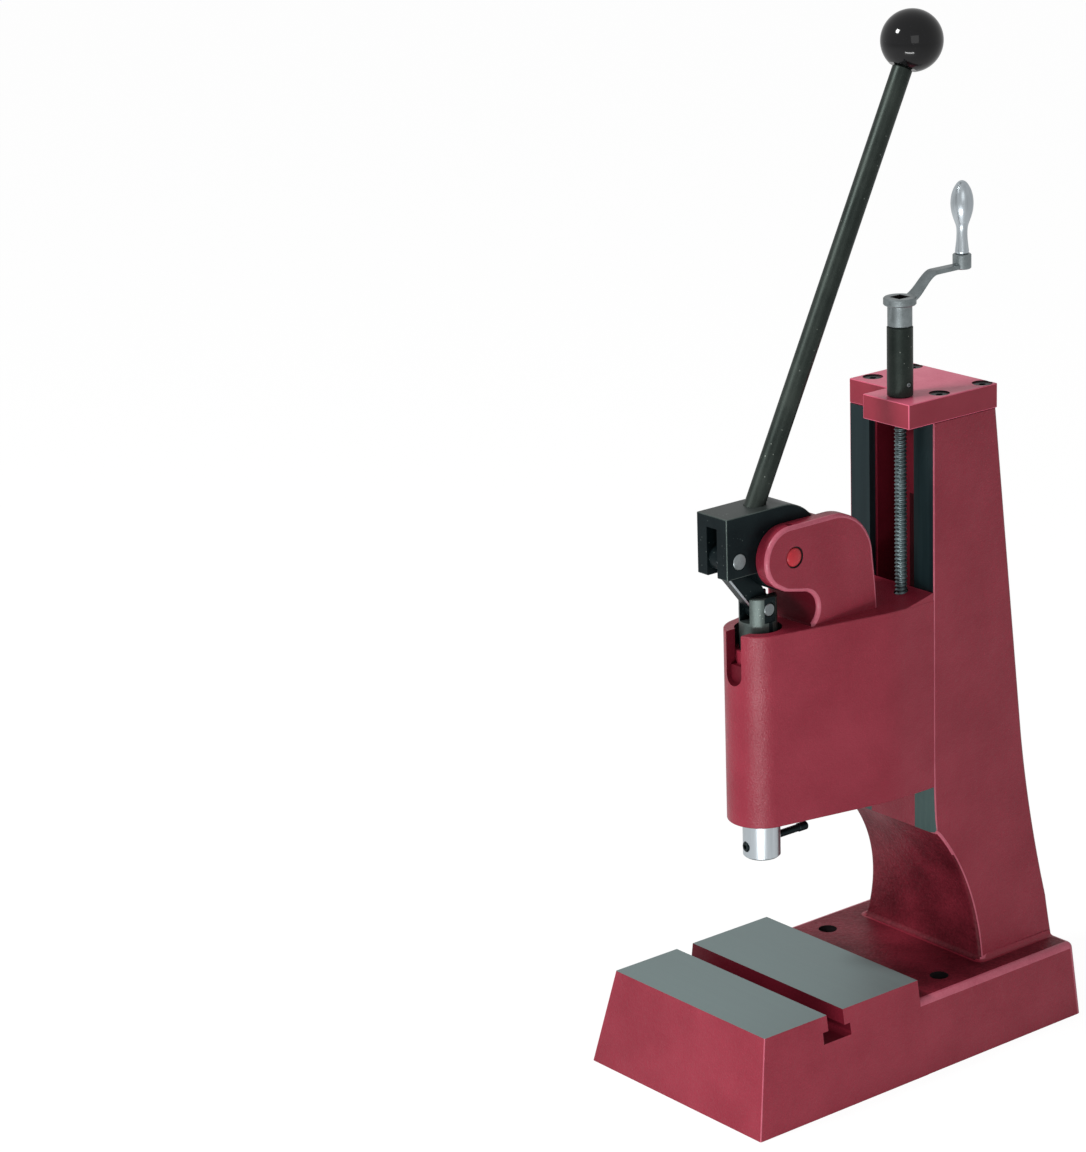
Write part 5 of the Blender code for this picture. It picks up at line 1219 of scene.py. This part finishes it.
# Ram
def press_ram():
    """Ground ram with a fork for the link, a tool bore and a groove for the spring's ring."""
    edge, wide = 0.001, RAM_RADIUS + OVER
    profile = [(RAM_RADIUS - edge, RAM_LOW_Z), (RAM_RADIUS, RAM_LOW_Z + edge),
        (RAM_RADIUS, RING_GROOVE_LOW_Z),
        (0.0131, RING_GROOVE_LOW_Z), (0.0131, RING_GROOVE_HIGH_Z), (RAM_RADIUS, RING_GROOVE_HIGH_Z),
        (RAM_RADIUS, RAM_HIGH_Z - edge),
        (RAM_RADIUS - edge, RAM_HIGH_Z)]
    ram = turned(profile, (0, RAM_Y, 0), materials=(TURNED_STEEL, OXIDE_WEAR_AND_SHADE, PAINTED_BORE_SHADE, OXIDE))
    flat_z = RAM_HIGH_Z - RAM_FLAT_LENGTH
    cut(ram, block((-SLOT_HALF, RAM_Y - wide, FOOT[1] - LINK_FOOT_RADIUS - GAP),
            (SLOT_HALF, RAM_Y + wide, RAM_HIGH_Z + OVER)))
    for side in (-1, 1):
        near, far = sorted((side * RAM_FLAT_HALF, side * wide))
        cut(ram, block((near, RAM_Y - wide, flat_z), (far, RAM_Y + wide, RAM_HIGH_Z + OVER)))
    cut(ram, rod((-wide, *FOOT), (wide, *FOOT), FOOT_PIN_RADIUS + 2 * GAP),
        turned([(0.0057, RAM_LOW_Z - GAP), (0.005, RAM_LOW_Z + 0.0007), (0.005, RAM_LOW_Z + 0.022),
                (POLE, RAM_LOW_Z + 0.025)], (0, RAM_Y, 0), sides=SMALL_ROUND),
        rod(tool_screw_point(0), tool_screw_point(wide), TOOL_SCREW_RADIUS + GAP),
        rod((0, RAM_Y + RAM_RADIUS - 0.0063, RAM_LOW_Z + REAR_ROD_RISE),
            (0, RAM_Y + wide, RAM_LOW_Z + REAR_ROD_RISE), REAR_ROD_RADIUS + GAP))
    tidy(ram)
    fork_z = HEAD_HIGH_Z - 0.02
    # Above the fork line the ram takes the darker oxide instead of bright steel, and its flats and slot walls
    # black oxide: painted shade inside the head.
    paint_faces(ram, 1, lambda at, out: at.z > fork_z)
    paint_faces(ram, 3, lambda at, out: at.z > fork_z and abs(out.x) > 0.99)
    # Tool bore: near black as painted shade.
    paint_faces(ram, 2, lambda at, out: math.hypot(at.x, at.y - RAM_Y) < 0.0058
        and at.z < RAM_LOW_Z + 0.026)
    finish(ram, "press_ram", "ram", ["ram"])


def tool_screw_point(distance):
    """A point on the axis of the tool's set screw, from the ram's axis outwards."""
    return Vector((distance * math.cos(TOOL_SCREW_AZIMUTH), RAM_Y + distance * math.sin(TOOL_SCREW_AZIMUTH),
            RAM_LOW_Z + TOOL_SCREW_RISE))


def ram_fittings():
    half = RAM_FLAT_HALF - 0.0002
    pin = chamfered(FOOT_PIN_RADIUS, -half, half, 0.0005, (0, *FOOT), X_AXIS, materials=(SATIN_STEEL,))
    finish(pin, "fork_pin", "ram", ["link_pin"])
    bore, rim = 0.0134, 0.0177
    profile = [(bore, 0.3178), (rim, 0.3178), (rim, 0.3196), (rim - 0.0004, 0.32), (bore, 0.32)]
    finish(turned(profile, (0, RAM_Y, 0), through=True, materials=(OXIDE,)), "stop_ring", "ram",
        ["spring_collar"])
    tip = tool_screw_point(RAM_RADIUS + 0.0008)
    outward = tip - tool_screw_point(0)
    length = RAM_RADIUS + 0.0008 - 0.0053
    screw = turned([(TOOL_SCREW_RADIUS - 0.0008, -length), (TOOL_SCREW_RADIUS, 0.0008 - length),
            (TOOL_SCREW_RADIUS, -0.0006), (TOOL_SCREW_RADIUS - 0.0006, 0)], tip, outward, SMALL_ROUND,
        materials=(OXIDE,))
    cut(screw, socket_cutter(tip, 0.002, 0.0028, outward))
    finish(screw, "tool_screw", "ram", ["tool_set_screw"])
    low, high = RAM_RADIUS - 0.006, REAR_ROD_REACH
    slim, full = REAR_ROD_RADIUS - 0.0005, REAR_ROD_RADIUS
    profile = [(full - 0.0005, low), (full, low + 0.0005), (full, low + 0.008), (slim, low + 0.0086),
        (slim, high - 0.0086), (full, high - 0.008), (full, high - 0.0008), (full - 0.0008, high)]
    bar = turned(profile, (0, RAM_Y, RAM_LOW_Z + REAR_ROD_RISE), Y_AXIS, SMALL_ROUND, materials=(OXIDE,))
    finish(bar, "rear_bar", "ram", ["ram_rear_rod"])


frame_casting()
cover_plate()
for index, (screw_x, screw_y) in enumerate(COVER_SCREWS, start=1):
    cover_screw(index, screw_x, screw_y)
threaded_spindle()
spindle_collar()
crank()
machine_handle()
head_casting()
ram_sleeves()
coil_spring()
ear_pin()
head_clamp()
toggle_block()
lever_bar_and_ball()
cheek_pin()
toggle_link()
press_ram()
ram_fittings()

for node_name in ("spindle_bush", "spindle_nut"):
    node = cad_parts[node_name]
    node.data.materials.clear()
    node.data.materials.append(BRONZE)


# Studio
def path_switch(tree):
    """1 for camera and transmission rays, which see the white background, and half that for glossy ones."""
    rays = tree.nodes.new("ShaderNodeLightPath")
    mirrored = add_math(tree, "MULTIPLY", rays.outputs["Is Glossy Ray"], 0.5)
    seen = add_math(tree, "MAXIMUM", rays.outputs["Is Camera Ray"], mirrored)
    return add_math(tree, "MAXIMUM", seen, rays.outputs["Is Transmission Ray"])


def studio_world(level):
    world = bpy.data.worlds.new("studio")
    bpy.context.scene.world = world
    world.use_nodes = True
    tree = world.node_tree
    light = tree.nodes["Background"]
    light.inputs["Strength"].default_value = level
    light.inputs["Color"].default_value = (1, 1, 1, 1)
    white = tree.nodes.new("ShaderNodeBackground")
    white.inputs["Color"].default_value = (1, 1, 1, 1)
    mix = tree.nodes.new("ShaderNodeMixShader")
    tree.links.new(path_switch(tree), mix.inputs["Fac"])
    tree.links.new(light.outputs["Background"], mix.inputs[1])
    tree.links.new(white.outputs["Background"], mix.inputs[2])
    tree.links.new(mix.outputs["Shader"], tree.nodes["World Output"].inputs["Surface"])


def studio_floor():
    bpy.ops.mesh.primitive_plane_add(size=14)
    floor = bpy.context.object
    floor.name = "floor"
    material = bpy.data.materials.new("pale floor")
    material.use_nodes = True
    tree = material.node_tree
    matt = tree.nodes["Principled BSDF"]
    matt.inputs["Base Color"].default_value = (0.8, 0.8, 0.8, 1)
    matt.inputs["Roughness"].default_value = 0.9
    matt.inputs["Specular IOR Level"].default_value = 0.0
    glow = tree.nodes.new("ShaderNodeEmission")
    glow.inputs["Strength"].default_value = 1.1
    share = add_math(tree, "MULTIPLY", path_switch(tree), 0.86)
    mix = tree.nodes.new("ShaderNodeMixShader")
    tree.links.new(share, mix.inputs["Fac"])
    tree.links.new(matt.outputs["BSDF"], mix.inputs[1])
    tree.links.new(glow.outputs["Emission"], mix.inputs[2])
    tree.links.new(mix.outputs["Shader"], tree.nodes["Material Output"].inputs["Surface"])
    floor.data.materials.append(material)


def softbox(name, place, aim, wide, high, power):
    """A flat lamp that looks at a point."""
    lamp = bpy.data.lights.new(name, "AREA")
    lamp.shape = "RECTANGLE"
    lamp.size = wide
    lamp.size_y = high
    lamp.energy = power
    obj = bpy.data.objects.new(name, lamp)
    bpy.context.collection.objects.link(obj)
    obj.location = place
    obj.rotation_euler = (Vector(place) - Vector(aim)).to_track_quat("Z", "Y").to_euler()


def photo_camera():
    """The camera recovered from the photograph's edges."""
    yaw, pitch, roll = CAMERA_YAW, CAMERA_PITCH, CAMERA_ROLL
    ahead = Vector((-math.sin(yaw) * math.cos(pitch), math.cos(yaw) * math.cos(pitch), -math.sin(pitch)))
    level = Vector((math.cos(yaw), math.sin(yaw), 0))
    upright = level.cross(ahead)
    right = math.cos(roll) * level + math.sin(roll) * upright
    up = math.cos(roll) * upright - math.sin(roll) * level
    lens = bpy.data.cameras.new("camera")
    lens.sensor_width = SENSOR_WIDTH
    lens.lens = FOCAL_PIXELS / PICTURE_HEIGHT * SENSOR_WIDTH
    camera = bpy.data.objects.new("camera", lens)
    bpy.context.collection.objects.link(camera)
    turn = Matrix((right, up, -ahead)).transposed().to_4x4()
    camera.matrix_world = Matrix.Translation(CAMERA_PLACE) @ turn
    bpy.context.scene.camera = camera


studio_world(0.34)
studio_floor()
softbox("key light", (-0.53, -1.5, 1.86), (0, 0, 0.3), 0.4, 0.4, 28.5)
softbox("right light", (1.5, -0.9, 1.1), (0, 0, 0.3), 0.9, 0.9, 3)
softbox("low light", (0.55, -0.68, 0.03), (0, -0.08, 0.27), 0.62, 0.12, 4.4)
photo_camera()
bpy.context.scene.view_settings.view_transform = "Standard"
